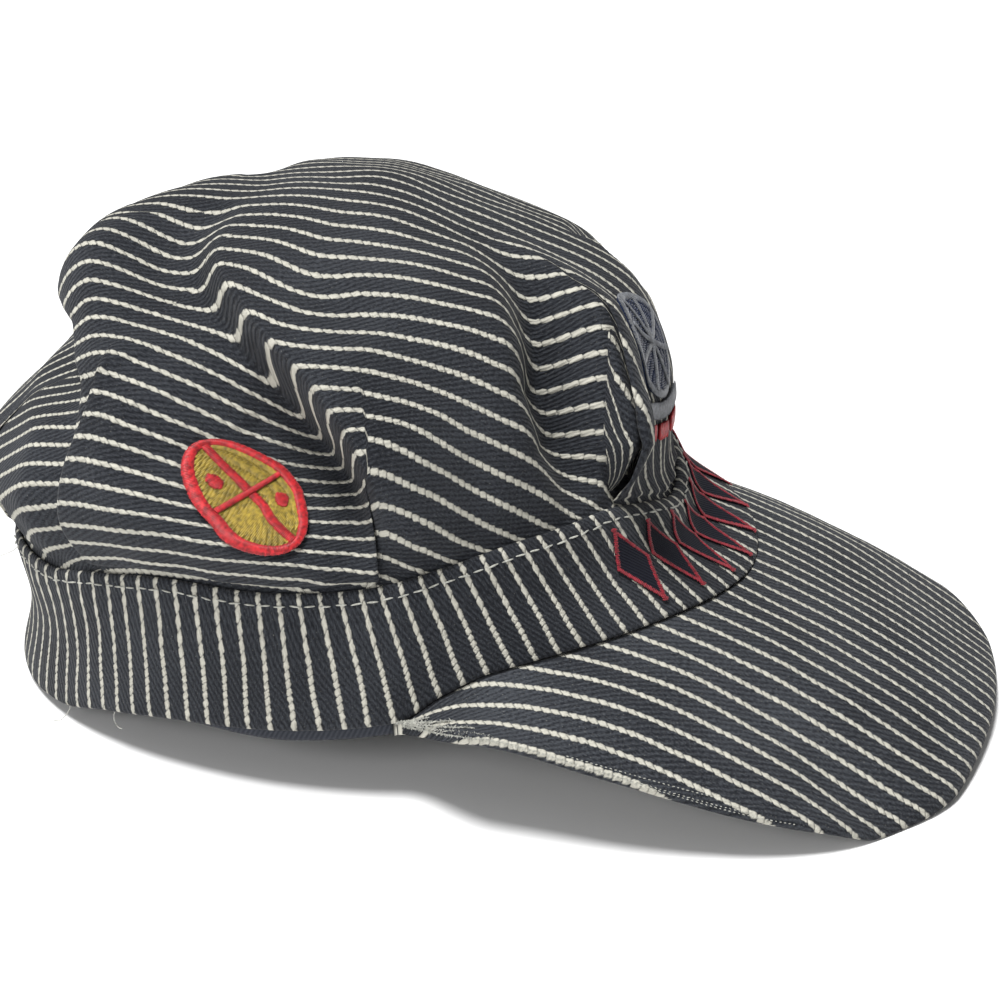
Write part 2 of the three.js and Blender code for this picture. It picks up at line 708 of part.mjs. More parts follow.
const emblemSurface = crownAround(emblemDeg, emblemUp);
const emblemMesh = patchMesh('emblem_disc', ovalOutline(emblemRadius, emblemRadius, 0, 20), [1, 0.7, 0.35],
  emblemSurface, 0x2a4a78);
const railMesh = patchMesh('emblem_rail', boxOutline(railWidth, railHeight, 8), [1, 0.5],
  (right, above) => emblemSurface(right, above - railDrop), 0x8d9299);

const tieMeshes = [-1, 0, 1].map((place, i) => patchMesh('emblem_tie_' + (i + 1),
  boxOutline(tieWidth, tieHeight, 2), [1, 0.5],
  (right, above) => emblemSurface(right + place * 11, above - tieDrop), 0xb5323a));

const lozengeMeshes = [];
for (let k = 0; k < lozengeCount; k += 1) {
  const deg = lozengeStep * ((lozengeCount - 1) / 2 - k);
  lozengeMeshes.push(patchMesh('band_lozenge_' + (k + 1), lozengeOutline(lozengeWidth, lozengeHeight),
    [1, 0.5], bandAround(deg, lozengeShare), 0x20283c));
}

// Put the cap down and flatten the cloth that would pass the surface.
const cap = new THREE.Group();
cap.name = 'railroad_engineer_cap';
const pieces = [bandMesh, sweatMesh, crownMesh(), billMesh(), badgeMesh, emblemMesh, railMesh,
  ...tieMeshes, ...lozengeMeshes];
const settle = new THREE.Matrix4().makeRotationX(-restPitch * toRadians);
settle.premultiply(new THREE.Matrix4().makeRotationY(restRoll * toRadians));
for (const piece of pieces) piece.geometry.applyMatrix4(settle);
const bounds = new THREE.Box3();
for (const piece of pieces) bounds.union(new THREE.Box3().setFromBufferAttribute(piece.geometry.attributes.position));
const drop = new THREE.Matrix4().makeTranslation(
  -(bounds.min.x + bounds.max.x) / 2,
  -(bounds.min.y + bounds.max.y) / 2,
  -bounds.min.z - restPress,
);
for (const piece of pieces) {
  piece.geometry.applyMatrix4(drop);
  const positions = piece.geometry.attributes.position;
  for (let i = 0; i < positions.count; i += 1) {
    if (positions.getZ(i) < 0) positions.setZ(i, 0);
  }
  piece.geometry.computeVertexNormals();
  cap.add(piece);
}

export default cap;
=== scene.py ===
import math
import bpy
import numpy as np
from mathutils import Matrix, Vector


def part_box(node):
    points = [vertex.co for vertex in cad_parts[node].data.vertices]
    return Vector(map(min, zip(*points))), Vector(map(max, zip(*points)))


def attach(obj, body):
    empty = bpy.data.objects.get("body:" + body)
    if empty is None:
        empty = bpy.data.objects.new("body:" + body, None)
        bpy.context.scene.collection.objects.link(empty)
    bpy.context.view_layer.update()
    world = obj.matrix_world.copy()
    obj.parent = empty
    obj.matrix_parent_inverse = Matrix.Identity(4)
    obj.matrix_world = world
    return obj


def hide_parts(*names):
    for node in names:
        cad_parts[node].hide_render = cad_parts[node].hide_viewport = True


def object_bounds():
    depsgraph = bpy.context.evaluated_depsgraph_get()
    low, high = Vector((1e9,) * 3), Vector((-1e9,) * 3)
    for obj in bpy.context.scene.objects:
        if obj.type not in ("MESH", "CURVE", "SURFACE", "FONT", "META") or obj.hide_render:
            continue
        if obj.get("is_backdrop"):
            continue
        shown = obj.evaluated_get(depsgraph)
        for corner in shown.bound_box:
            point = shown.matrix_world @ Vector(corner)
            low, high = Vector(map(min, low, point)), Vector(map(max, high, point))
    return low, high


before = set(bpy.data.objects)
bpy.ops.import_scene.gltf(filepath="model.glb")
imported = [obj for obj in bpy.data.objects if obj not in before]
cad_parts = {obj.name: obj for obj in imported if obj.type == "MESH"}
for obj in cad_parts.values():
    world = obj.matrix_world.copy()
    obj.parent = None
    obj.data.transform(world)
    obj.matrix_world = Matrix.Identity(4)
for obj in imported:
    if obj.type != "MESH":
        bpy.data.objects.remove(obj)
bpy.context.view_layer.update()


# Head band.
# A doubled strip of hickory-stripe twill, 33 mm high, sewn round the crown's gathered edge.
# Its stripes stand upright. It is woven cotton, turned over at both edges.
# All shapes are laid out in millimetres with the band level, then the cap is put down.
band_reach = {"side": 81, "front": 106, "back": 99}
band_top_reach = {"side": 80, "front": 85, "back": 96}
band_height = 33
band_sag = 8
band_sag_deg = -32
band_sag_width = 55
band_cloth = 1.4
band_waist = 3
layer_gap = 0.3
# Angle round the head, then the lower and the upper edge in band heights, and the share of the waist.
band_rows = [
    (0, 0.60, 1.25, 1.6),
    (15, 0.65, 1.37, 1.5),
    (30, 0.69, 1.50, 1.0),
    (45, 0.67, 1.50, 0.4),
    (60, 0.59, 1.42, 0),
    (67, 0.45, 1.36, 0),
    (74, 0.24, 1.32, 0),
    (90, 0.17, 1.30, 0),
    (105, 0.15, 1.33, 0.1),
    (120, 0.06, 1.24, 0.3),
    (135, -0.11, 1.09, 0.7),
    (150, -0.16, 1.05, 1),
    (180, -0.16, 1.03, 1),
]
rest_pitch = 3.9
rest_roll = -0.3
stripe_count = 96
stripe_pitch = 5.7


def smooth_step(x):
    held = np.clip(x, 0, 1)
    return held * held * (3 - 2 * held)


def blend(a, b, share):
    return a + (b - a) * share


def curve_through(xs, ys, at):
    """Smooth curve through table values that does not overshoot them."""
    xs = np.asarray(xs, float)
    ys = np.asarray(ys, float)
    steps = np.diff(ys) / np.diff(xs)
    slopes = np.zeros(len(xs))
    for i in range(1, len(xs) - 1):
        before, after = steps[i - 1], steps[i]
        if before * after > 0:
            slopes[i] = 2 * before * after / (before + after)
    at = np.asarray(at, float)
    i = np.clip(np.searchsorted(xs, at, side="left") - 1, 1, len(xs) - 3)
    width = xs[i + 1] - xs[i]
    s = (at - xs[i]) / width
    value = (2 * s**3 - 3 * s**2 + 1) * ys[i] + (s**3 - 2 * s**2 + s) * slopes[i] * width
    return value + (3 * s**2 - 2 * s**3) * ys[i + 1] + (s**3 - s**2) * slopes[i + 1] * width


def turned(deg):
    """Angle brought between -180 and 180 degrees."""
    return (np.asarray(deg, float) + 180) % 360 - 180


def read_around(rows, column, deg):
    """A table that is the same on both sides of the head, read at any angle."""
    degs = [row[0] for row in rows]
    values = [row[column] for row in rows]
    xs = [-degs[1]] + degs + [360 - degs[-2]]
    ys = [values[1]] + values + [values[-2]]
    return curve_through(xs, ys, np.abs(turned(deg)))


def oval_point(deg, reach):
    turn = np.radians(deg)
    length = np.where(np.cos(turn) > 0, reach["front"], reach["back"])
    return np.stack([-reach["side"] * np.sin(turn), -length * np.cos(turn), 0 * turn], -1)


def unit(v):
    return v / np.maximum(np.linalg.norm(v, axis=-1, keepdims=True), 1e-9)


def oval_outward(deg, reach):
    point = oval_point(deg, reach)
    length = np.where(point[..., 1] < 0, reach["front"], reach["back"])
    flat = np.stack([point[..., 0] / reach["side"] ** 2, point[..., 1] / length**2, 0 * length], -1)
    return unit(flat)


def band_point(deg, share, depth):
    """Share 0 is the band's lower edge and 1 its upper one; depth runs inwards from the outer face."""
    deg, share, depth = np.broadcast_arrays(
        np.asarray(deg, float), np.asarray(share, float), np.asarray(depth, float))
    low = oval_point(deg, band_reach)
    high = oval_point(deg, band_top_reach)
    waist = band_waist * read_around(band_rows, 3, deg) * np.sin(np.pi * np.clip(share, 0, 1)) ** 2
    point = blend(low, high, share[..., None])
    point = point - oval_outward(deg, band_reach) * (depth + waist)[..., None]
    lower = read_around(band_rows, 1, deg) * band_height
    sag = band_sag * (1 - smooth_step(np.abs(turned(deg - band_sag_deg)) / band_sag_width))
    upper = read_around(band_rows, 2, deg) * band_height - sag
    point[..., 2] = blend(lower, upper, share)
    return point


def ripple(points, wavelength, seed):
    """Soft unevenness of cloth between about -1 and 1, from crossed waves in fixed directions."""
    rng = np.random.default_rng(seed)
    total = np.zeros(points.shape[:-1])
    for _ in range(7):
        direction = unit(rng.normal(size=3))
        stretch = wavelength * rng.uniform(0.75, 1.4)
        total = total + np.sin(points @ direction * (2 * np.pi / stretch) + rng.uniform(0, 6.28))
    return total / 3.2


def settle_turn():
    pitch, roll = math.radians(-rest_pitch), math.radians(rest_roll)
    pitch_cos, pitch_sin = math.cos(pitch), math.sin(pitch)
    roll_cos, roll_sin = math.cos(roll), math.sin(roll)
    tip = np.array([[1, 0, 0], [0, pitch_cos, -pitch_sin], [0, pitch_sin, pitch_cos]])
    lean = np.array([[roll_cos, 0, roll_sin], [0, 1, 0], [-roll_sin, 0, roll_cos]])
    return lean @ tip


cad_ring = np.concatenate([band_point(np.arange(84) * 360 / 84, s, 0) for s in (0, 0.25, 0.5, 0.75, 1)])
settle = settle_turn()
rest_shift = np.array(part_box("band")[1]) * 1000 - (cad_ring @ settle.T).max(0)


def put_down(points):
    """Cap coordinates in mm to the row frame in metres, with the cloth flattened on the surface."""
    placed = np.asarray(points, float) @ settle.T + rest_shift
    placed[..., 2] = np.maximum(placed[..., 2], 0)
    return placed / 1000


def cloth_object(name, points, faces, flat, material):
    """Mesh object from cap coordinates in mm. Its UV map is the place on the flat cloth, in mm."""
    mesh = bpy.data.meshes.new(name)
    faces = np.asarray(faces, np.int64)
    points = put_down(np.asarray(points, float).reshape(-1, 3))
    mesh.vertices.add(len(points))
    mesh.vertices.foreach_set("co", points.astype(np.float32).ravel())
    sides = faces.shape[1]
    mesh.loops.add(faces.size)
    mesh.loops.foreach_set("vertex_index", faces.ravel().astype(np.int32))
    mesh.polygons.add(len(faces))
    mesh.polygons.foreach_set("loop_start", np.arange(0, faces.size, sides, dtype=np.int32))
    mesh.polygons.foreach_set("use_smooth", np.ones(len(faces), bool))
    layer = mesh.uv_layers.new(name="flat_cloth")
    flat = np.asarray(flat, float)
    corners = flat if len(flat) == faces.size else flat[faces.ravel()]
    layer.data.foreach_set("uv", corners.astype(np.float32).ravel())
    mesh.validate()
    mesh.update()
    mesh.materials.append(material)
    made = bpy.data.objects.new(name, mesh)
    bpy.context.scene.collection.objects.link(made)
    return made


def tube_faces(columns, rows):
    """Quads of a closed tube bent into a ring, and each corner's place in the unrolled strip."""
    faces, corners = [], []
    for i in range(columns):
        after = (i + 1) % columns
        for j in range(rows):
            up = (j + 1) % rows
            faces.append((i * rows + j, i * rows + up, after * rows + up, after * rows + j))
            corners += [(i, j), (i, up), (i + 1, up), (i + 1, j)]
    return faces, np.array(corners)


def feed(tree, socket, value):
    """Give one input of a node a number, a colour or another node's output."""
    if isinstance(value, Tone):
        tree.links.new(value.socket, socket)
    else:
        socket.default_value = (*value, 1) if isinstance(value, tuple) else value


class Tone:
    """An output in a material's node tree. Sums and products of tones become math nodes."""

    def __init__(self, tree, socket):
        self.tree, self.socket = tree, socket

    def math(self, operation, other=0.0, swapped=False):
        node = self.tree.nodes.new("ShaderNodeMath")
        node.operation = operation
        for socket, value in zip(node.inputs, (other, self) if swapped else (self, other)):
            feed(self.tree, socket, value)
        return Tone(self.tree, node.outputs[0])

    def __add__(self, other):
        return self.math("ADD", other)

    def __sub__(self, other):
        return self.math("SUBTRACT", other)

    def __rsub__(self, other):
        return self.math("SUBTRACT", other, swapped=True)

    def __mul__(self, other):
        return self.math("MULTIPLY", other)

    def __truediv__(self, other):
        return self.math("DIVIDE", other)

    def __pow__(self, other):
        return self.math("POWER", other)

    def __abs__(self):
        return self.math("ABSOLUTE")


class Look:
    """One material, with short calls for its nodes."""

    def __init__(self, name, roughness, specular=0.5, sheen=0.0):
        self.material = bpy.data.materials.new(name)
        self.material.use_nodes = True
        self.tree = self.material.node_tree
        self.shader = self.tree.nodes["Principled BSDF"]
        named = {"Roughness": roughness, "Specular IOR Level": specular, "Sheen Weight": sheen}
        for label, value in named.items():
            self.shader.inputs[label].default_value = value

    def add(self, kind, inputs, output=0, **settings):
        node = self.tree.nodes.new(kind)
        for key, value in settings.items():
            setattr(node, key, value)
        for label, value in inputs.items():
            feed(self.tree, node.inputs[label], value)
        return Tone(self.tree, node.outputs[output])

    def ramp(self, value, low, high, start=0.0, end=1.0):
        return self.add("ShaderNodeMapRange", {0: value, 1: low, 2: high, 3: start, 4: end},
                        interpolation_type="SMOOTHSTEP")

    def noise(self, spot, scale, detail=2.0, rough=0.5):
        inputs = {"Vector": spot, "Scale": scale, "Detail": detail, "Roughness": rough}
        return self.add("ShaderNodeTexNoise", inputs)

    def mix(self, share, a, b):
        return self.add("ShaderNodeMix", {"Factor": share, 6: a, 7: b}, 2, data_type="RGBA")

    def flat_cloth(self):
        """The place on the flat cloth in mm: across, along and both together."""
        spot = self.add("ShaderNodeUVMap", {}, uv_map="flat_cloth")
        return (self.add("ShaderNodeSeparateXYZ", {0: spot}, "X"),
                self.add("ShaderNodeSeparateXYZ", {0: spot}, "Y"), spot)

    def object_spot(self):
        return self.add("ShaderNodeTexCoord", {}, "Object")

    def colour(self, value):
        feed(self.tree, self.shader.inputs["Base Color"], value)

    def bump(self, height, depth_mm, strength):
        inputs = {"Strength": strength, "Distance": depth_mm / 1000, "Height": height}
        feed(self.tree, self.shader.inputs["Normal"], self.add("ShaderNodeBump", inputs))


def hickory_twill(name, ground_dark, ground_light, stripe_colour, wear=0.0):
    """Striped twill: dark diagonal ribs, with cords of pale slanted floats every 5.7 mm."""
    float_length, float_slant, float_shift = 2.3, 0.42, 0.373
    cord_half, cord_waist, cord_rounding = 0.62, 0.16, 0.8
    rib_width, rib_along, rib_across = 1.3, 0.438, 0.899
    look = Look(name, 0.92, 0.25, 0.05)
    x, y, flat = look.flat_cloth()
    along = look.noise(flat, 0.3) * 0.8 + y
    wander = look.noise(flat, 0.045, 1.0) * 1.6 + x
    across = wander / stripe_pitch
    middle = (across.math("FRACT") - 0.5) * stripe_pitch
    turn = middle * float_slant + (along / float_length + across.math("FLOOR") * float_shift)
    saw = turn.math("FRACT") - 0.5
    uneven = (look.noise(flat, 1.1, 3.0, 0.6) - 0.5) * 0.8
    away = abs(saw * -0.3 + (middle + uneven))
    ends = (abs(saw) * 2.0) ** 5.0
    half = ends * -cord_waist + cord_half
    stripe = look.ramp(away - half, -0.17, 0.15, 1.0, 0.0)
    ribs = (along * rib_along - wander * rib_across) / rib_width
    rib = (ribs * 6.2832 + look.noise(flat, 0.7, 3.0) * 3.0).math("SINE") * 0.5 + 0.5
    stretched = look.add("ShaderNodeCombineXYZ", {"X": x * 2.3, "Y": y})
    threads = look.noise(stretched, 1.1, 4.0, 0.7)
    patchy = (look.noise(flat, 0.03, 3.0) - 0.5) * 0.9
    light = patchy + (rib * 0.34 + ((threads - 0.5) * 2.4 + 0.24))
    ground = look.mix(look.ramp(light, 0.0, 1.0), ground_dark, ground_light)
    fluffy = look.ramp(look.noise(flat, 2.4, 2.0, 0.7), 0.63, 0.76, 0.0, 0.26 + wear)
    ground = look.mix(fluffy, ground, stripe_colour)
    dirt = look.ramp(look.noise(flat, 0.6, 3.0), 0.35, 0.75, 0.0, 0.32)
    # Darker stripe colour: random dirt from the noise, and painted shade in the dips at each float's
    # ends.
    dirt_and_notch_shade = tuple(0.42 * c for c in stripe_colour)
    pale = look.mix(dirt.math("MAXIMUM", ends * 0.34), stripe_colour, dirt_and_notch_shade)
    look.colour(look.mix(stripe, ground, pale))
    cord = (1.0 - (away / cord_rounding) ** 2.0).math("MAXIMUM", 0.0) * (1.0 - ends)
    look.bump(cord * 1.2 + rib * 0.5 + threads * 0.5, 0.36, 1.0)
    return look.material


navy_ground = (0.0045, 0.0055, 0.0085)
navy_light = (0.038, 0.042, 0.050)
cream = (0.50, 0.485, 0.42)
crown_twill = hickory_twill("hickory_twill_crown", navy_ground, navy_light, cream)
band_twill = hickory_twill("hickory_twill_band", navy_ground, navy_light, cream)

band_degs = np.arange(336) * 360 / 336
edge_round = [(0.000, 0.75), (0.004, 0.42), (0.016, 0.14), (0.04, 0.0)]
band_section = [(share, depth * band_cloth) for share, depth in edge_round]
band_section += [(share, 0.0) for share in np.linspace(0.08, 0.92, 22)]
band_section += [(1 - share, depth * band_cloth) for share, depth in reversed(edge_round)]
band_section += [(1 - share, band_cloth) for share in (0.01, 0.25, 0.5, 0.75, 0.99)]
band_shares = np.array([share for share, depth in band_section])
band_depths = np.array([depth for share, depth in band_section])


def band_skin(deg, share, depth):
    """The band's cloth with its small puckers under the seam and its soft unevenness."""
    point = band_point(deg, share, depth)
    outward = oval_outward(deg, band_reach)
    outward = np.broadcast_to(outward, point.shape)
    turn = np.radians(deg)
    near_seam = np.exp(-(((share - 0.9) / 0.1) ** 2))
    pucker = 0.28 * np.sin(turn * 96 + 1.3 * np.sin(turn * 7)) * near_seam
    soft = 0.45 * ripple(point, 46, 11) + 0.16 * ripple(point, 15, 12)
    outer = np.clip(1 - depth / band_cloth, 0, 1)
    calm = np.clip((np.minimum(share, 1 - share)) / 0.12, 0.25, 1)
    return point + outward * ((soft * calm + pucker * 0.8) * outer)[..., None]


deg_grid, share_grid = np.meshgrid(band_degs, band_shares, indexing="ij")
depth_grid = np.broadcast_to(band_depths, deg_grid.shape)
band_points = band_skin(deg_grid, share_grid, depth_grid)
middle_line = band_point(np.append(band_degs, 360.0), 0.5, 0)
run = np.concatenate([[0], np.cumsum(np.linalg.norm(np.diff(middle_line, axis=0), axis=1))])
run *= stripe_count * stripe_pitch / run[-1]
ring_faces, ring_flat = tube_faces(len(band_degs), len(band_section))
flat_up = np.append(0, np.cumsum(np.linalg.norm(np.diff(band_points[0], axis=0), axis=1)))
ring_uv = np.stack([run[ring_flat[:, 0]], flat_up[ring_flat[:, 1]]], -1)
band = cloth_object("band_cloth", band_points, ring_faces, ring_uv, band_twill)
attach(band, "root")
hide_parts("band")


# Sweatband.
# A dark cotton twill strip inside the band, which takes up sweat and keeps the seam off the skin.
# It is a single strip, sewn to the band's lower edge, and shows a little below it at the sides.
sweat_cloth = 1.2
sweat_top_share = 0.66
sweat_gap = 0.5
sweat_rows = [(0, 0.02), (60, 0.03), (72, 0.09), (88, 0.09), (108, 0.01), (180, -0.03)]


def plain_twill(name, dark, light):
    """Plain cotton twill with fine diagonal ribs, for the lining band and the cloth patches."""
    rib_width = 0.9
    look = Look(name, 0.95, 0.2, 0.03)
    x, y, flat = look.flat_cloth()
    rib = ((x * 0.8 + y * 0.6) * (6.2832 / rib_width)).math("SINE") * 0.5 + 0.5
    fuzz = look.noise(flat, 1.6, 3.0, 0.7)
    look.colour(look.mix(rib * 0.5 + fuzz * 0.6, dark, light))
    look.bump(rib + fuzz, 0.2, 0.7)
    return look.material


sweat_twill = plain_twill("dark_lining_twill", (0.014, 0.016, 0.022), (0.05, 0.054, 0.065))
sweat_degs = np.arange(252) * 360 / 252
outer_depth = band_cloth + layer_gap
sweat_points = []
for deg in sweat_degs:
    drop = -float(read_around(sweat_rows, 1, deg))
    shares = np.array([drop + 0.015, drop] + list(np.linspace(drop + 0.02, sweat_top_share, 9)))
    shares = np.append(shares, [sweat_top_share, 0.5, 0.25, drop + 0.02])
    inward = np.array([0.5, 0.2] + [0.0] * 9 + [1.0] * 4)
    sweat_points.append(band_point(deg, shares, inward * sweat_cloth + band_cloth + sweat_gap))
sweat_points = np.array(sweat_points)
ring_faces, ring_flat = tube_faces(len(sweat_degs), sweat_points.shape[1])
flat_up = np.append(0, np.cumsum(np.linalg.norm(np.diff(sweat_points[0], axis=0), axis=1)))
ring_uv = np.stack([ring_flat[:, 0] * 556 / 252, flat_up[ring_flat[:, 1]]], -1)
sweatband = cloth_object("sweatband_cloth", sweat_points, ring_faces, ring_uv, sweat_twill)
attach(sweatband, "root")
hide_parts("sweatband")


# Crown.
# One round cut of hickory-stripe twill, gathered into the band by four box pleats.
# It is soft and unlined, so it slumps into valleys at the sides and stands up in front.
crown_top = 121.5
crown_top_forward = 5
crown_cloth = 1.6
crown_hem_share = 0.25
crown_heart = 50
pleat_lift = 2.2
# Angle, then four levels of the profile: how far out in band reaches, how far up to the top.
crown_rows = [
    (0, 0.955, 0.08, 0.96, 0.335, 0.855, 0.645, 0.485, 0.85),
    (30, 0.975, 0.11, 0.965, 0.365, 0.85, 0.665, 0.485, 0.862),
    (60, 1, 0.16, 0.975, 0.42, 0.815, 0.69, 0.495, 0.89),
    (90, 1.06, 0.20, 1.02, 0.45, 0.86, 0.73, 0.52, 0.91),
    (120, 1.07, 0.22, 0.98, 0.48, 0.84, 0.73, 0.53, 0.915),
    (150, 1.05, 0.235, 0.85, 0.5, 0.775, 0.73, 0.54, 0.915),
    (180, 1.03, 0.235, 0.82, 0.5, 0.765, 0.73, 0.54, 0.915),
]
# Each panel stands proud between two folded edges; a reach is where that edge fades away.
pleats = [
    {"from": -23, "to": 23, "from_reach": 0.55, "to_reach": 0.62},
    {"from": 71.5, "to": 120.5, "from_reach": 0.36, "to_reach": 0.62},
    {"from": 157, "to": 203, "from_reach": 0.4, "to_reach": 0.4},
    {"from": 239.5, "to": 288.5, "from_reach": 0.5, "to_reach": 0.36},
]
# Each fold is a chain of places: angle, height share, depth in mm (a ridge is below 0), and its
# width to either side in mm.
folds = {
    "back_peak": [(134, 0.52, -3, 12, 16), (149, 0.56, -8, 18, 22), (166, 0.66, -5, 20, 24),
                  (186, 0.72, -2, 20, 24)],
    "right_valley": [(148, 0.73, 3, 14, 14), (128, 0.64, 7, 20, 13), (105, 0.53, 12, 30, 12),
                     (95, 0.45, 17, 38, 11), (88, 0.38, 23, 44, 11), (81, 0.29, 28, 42, 10),
                     (76, 0.20, 24, 36, 8), (73.5, 0.10, 9, 22, 7), (73, 0.04, 2, 12, 7)],
    "right_dome_lip": [(88, 0.52, -2, 14, 16), (76, 0.42, -5, 12, 20), (69, 0.28, -6, 10, 22),
                       (65, 0.12, -3, 9, 18)],
    "right_front_ridge": [(24, 0.05, -5, 12, 7), (23.5, 0.13, -10, 16, 8), (22, 0.24, -7.5, 16, 8),
                          (18, 0.36, -5, 14, 9), (13, 0.48, -3, 12, 10), (6, 0.62, -1, 12, 12)],
    "right_front_pocket": [(30, 0.04, 4, 7, 14), (29, 0.15, 14, 7.5, 19), (27.5, 0.28, 17, 7.5, 21),
                           (23.5, 0.42, 13, 8, 20), (17, 0.56, 6, 9, 17), (12, 0.68, 1, 9, 16)],
    "back_lobe_valley": [(127, 0.03, 3, 6, 9), (126, 0.20, 6, 7, 13), (130, 0.34, 9, 8, 22),
                         (142, 0.40, 11, 10, 22), (158, 0.40, 11, 12, 20), (176, 0.42, 6, 14, 18)],
    "left_front_pocket": [(333, 0.06, 3, 14, 5), (332, 0.22, 8, 20, 6), (335, 0.42, 5, 20, 8)],
    "left_valley": [(292, 0.10, 4, 8, 16), (274, 0.30, 9, 12, 26), (246, 0.50, 7, 14, 28),
                    (222, 0.66, 3, 14, 22)],
    "left_back_valley": [(232, 0.05, 3, 9, 6), (229, 0.28, 6, 14, 8), (214, 0.50, 3, 20, 10)],
}


def crown_profile(deg):
    """Profile of the crown before folds at each angle: eight points from the band to past the top."""
    deg = np.asarray(deg, float)
    start = band_point(deg, 1.03, outer_depth)
    reach = oval_point(deg, band_top_reach)
    points = [band_point(deg, 0.8, outer_depth), start]
    for level in (1, 2, 3, 4):
        out = read_around(crown_rows, 2 * level - 1, deg)
        up = read_around(crown_rows, 2 * level, deg)
        points.append(np.stack([reach[..., 0] * out, reach[..., 1] * out,
                                blend(start[..., 2], crown_top, up)], -1))
    top = np.broadcast_to(np.array([0.0, -crown_top_forward, crown_top]), start.shape)
    last = points[5]
    beyond = np.stack([-0.9 * last[..., 0], -2 * crown_top_forward - 0.9 * last[..., 1],
                       last[..., 2]], -1)
    return np.stack(points + [top, beyond], -2)


def profile_point(profile, up):
    """Point of a profile: up 0 at the band's upper edge, 1 at the top."""
    chords = np.linalg.norm(np.diff(profile[..., 1:7, :], axis=-2), axis=-1)
    lengths = np.concatenate([np.zeros(chords.shape[:-1] + (1,)), np.cumsum(chords, -1)], -1)
    marks = lengths / lengths[..., -1:]
    first = np.full(marks.shape[:-1] + (1,), -0.08)
    last = np.full(marks.shape[:-1] + (1,), 1.3)
    marks = np.concatenate([first, marks, last], -1)
    i = np.ones(up.shape, int)
    for k in range(2, 6):
        i = np.where(up > np.take_along_axis(marks, np.full(up.shape + (1,), k), -1)[..., 0], k, i)

    def mark(k):
        return np.take_along_axis(marks, (i + k)[..., None], -1)[..., 0]

    def point(k):
        return np.take_along_axis(profile, (i + k)[..., None, None], -2)[..., 0, :]

    width = mark(1) - mark(0)
    s = ((up - mark(0)) / width)[..., None]
    start_slope = (point(1) - point(-1)) * (width / (mark(1) - mark(-1)))[..., None]
    end_slope = (point(2) - point(0)) * (width / (mark(2) - mark(0)))[..., None]
    value = (2 * s**3 - 3 * s**2 + 1) * point(0) + (s**3 - 2 * s**2 + s) * start_slope
    return value + (3 * s**2 - 2 * s**3) * point(1) + (s**3 - s**2) * end_slope


def pleat_height(deg, up):
    """Outward push of the pleats' folded cloth, away from their turned edges."""
    height = 0 * up
    for pleat in pleats:
        middle = (pleat["from"] + pleat["to"]) / 2
        half = (pleat["to"] - pleat["from"]) / 2
        offset = turned(deg - middle)
        reach = np.where(offset < 0, pleat["from_reach"], pleat["to_reach"])
        softness = 1.5 + 14 * smooth_step(up / reach)
        fade = 1 - smooth_step((up - 0.3 * reach) / (0.7 * reach))
        height = height + pleat_lift * smooth_step((half - np.abs(offset)) / softness) * fade
    return height


def fold_depth(deg, up, inset, chains):
    """Push of some valleys and ridges of the slack cloth at each place of the crown."""
    deg_scale = 1.5 * np.sqrt(np.maximum(0.05, 1 - up))
    up_scale = 150
    depth = 0 * up
    for chain in chains:
        nearest = np.full(up.shape, np.inf)
        push = 0 * up
        for start, end in zip(chain[:-1], chain[1:]):
            px = turned(deg - start[0]) * deg_scale
            py = (up - start[1]) * up_scale
            dx = (end[0] - start[0]) * deg_scale
            dy = (end[1] - start[1]) * up_scale
            along = np.clip((px * dx + py * dy) / (dx * dx + dy * dy), 0, 1)
            distance = np.hypot(px - along * dx, py - along * dy)
            side = dx * py - dy * px
            here = blend(start[2], end[2], along)
            width = np.where(side > 0, blend(start[3], end[3], along), blend(start[4], end[4], along))
            width = width + 0.7 * inset * np.sign(here)
            reach = np.minimum(distance / width, 1)
            closer = distance < nearest
            push = np.where(closer, here * (1 - reach**2) ** 2, push)
            nearest = np.where(closer, distance, nearest)
        depth = depth + push
    return depth * smooth_step(up / 0.06)


def crown_base(deg, up):
    """Point of the crown before folds, and the outward direction there."""
    deg, up = np.broadcast_arrays(np.asarray(deg, float), np.asarray(up, float))
    point = profile_point(crown_profile(deg), up)
    return point, unit(point - np.array([0.0, 0.0, crown_heart]))


open_edge_ridge = "right_front_ridge"
plain_folds = [chain for name, chain in folds.items() if name != open_edge_ridge]


def crown_point(deg, up, lift, inset=0.0, ridge_share=1.0):
    """Point of the crown with its folds. Lift goes outwards; the front ridge counts by its share."""
    deg, up = np.broadcast_arrays(np.asarray(deg, float), np.asarray(up, float))
    point, outward = crown_base(deg, up)
    soft = 0.75 * ripple(point, 58, 21) + 0.3 * ripple(point, 19, 22)
    gathers = 0.55 * np.sin(np.radians(deg) * 41 + 2 * np.sin(np.radians(deg) * 5)) * np.exp(-up / 0.07)
    calm = smooth_step(up / 0.05)
    depth = fold_depth(deg, up, inset, plain_folds)
    depth = depth + ridge_share * fold_depth(deg, up, inset, [folds[open_edge_ridge]])
    push = -depth - inset + lift + soft * calm + gathers * smooth_step(up / 0.02)
    return point + outward * push[..., None]


# Steps across a turned pleat edge, from the cloth outside it, under the panel, round the edge and
# onto the panel: degrees outside the edge, how much more where the pleat gapes, lift in mm, degrees
# outside the edge when the cloth is laid flat, and whether the step belongs to the panel.
flap_steps = [
    (2.6, 0, 0, 2.6, False), (1.0, 0, 0, 1.0, False), (0, 0, 0, 0, False),
    (-1.0, -1.6, 0.05, -1.0, False), (-1.9, -4.0, 0.2, -1.9, False),
    (-1.9, -4.2, 0.9, 3.3, True), (-0.9, -1.4, 1.1, 2.2, True), (0.3, 0, 1.15, 1.2, True),
    (0.75, 0, 1.5, 0.9, True), (0.72, 0, 2.1, 0.6, True), (0.2, 0, 2.35, 0.1, True),
    (-0.8, 0, 2.25, -0.8, True), (-2.2, 0, 2.2, -2.2, True),
]
first_flat, last_flat = flap_steps[0][0], flap_steps[-1][0]
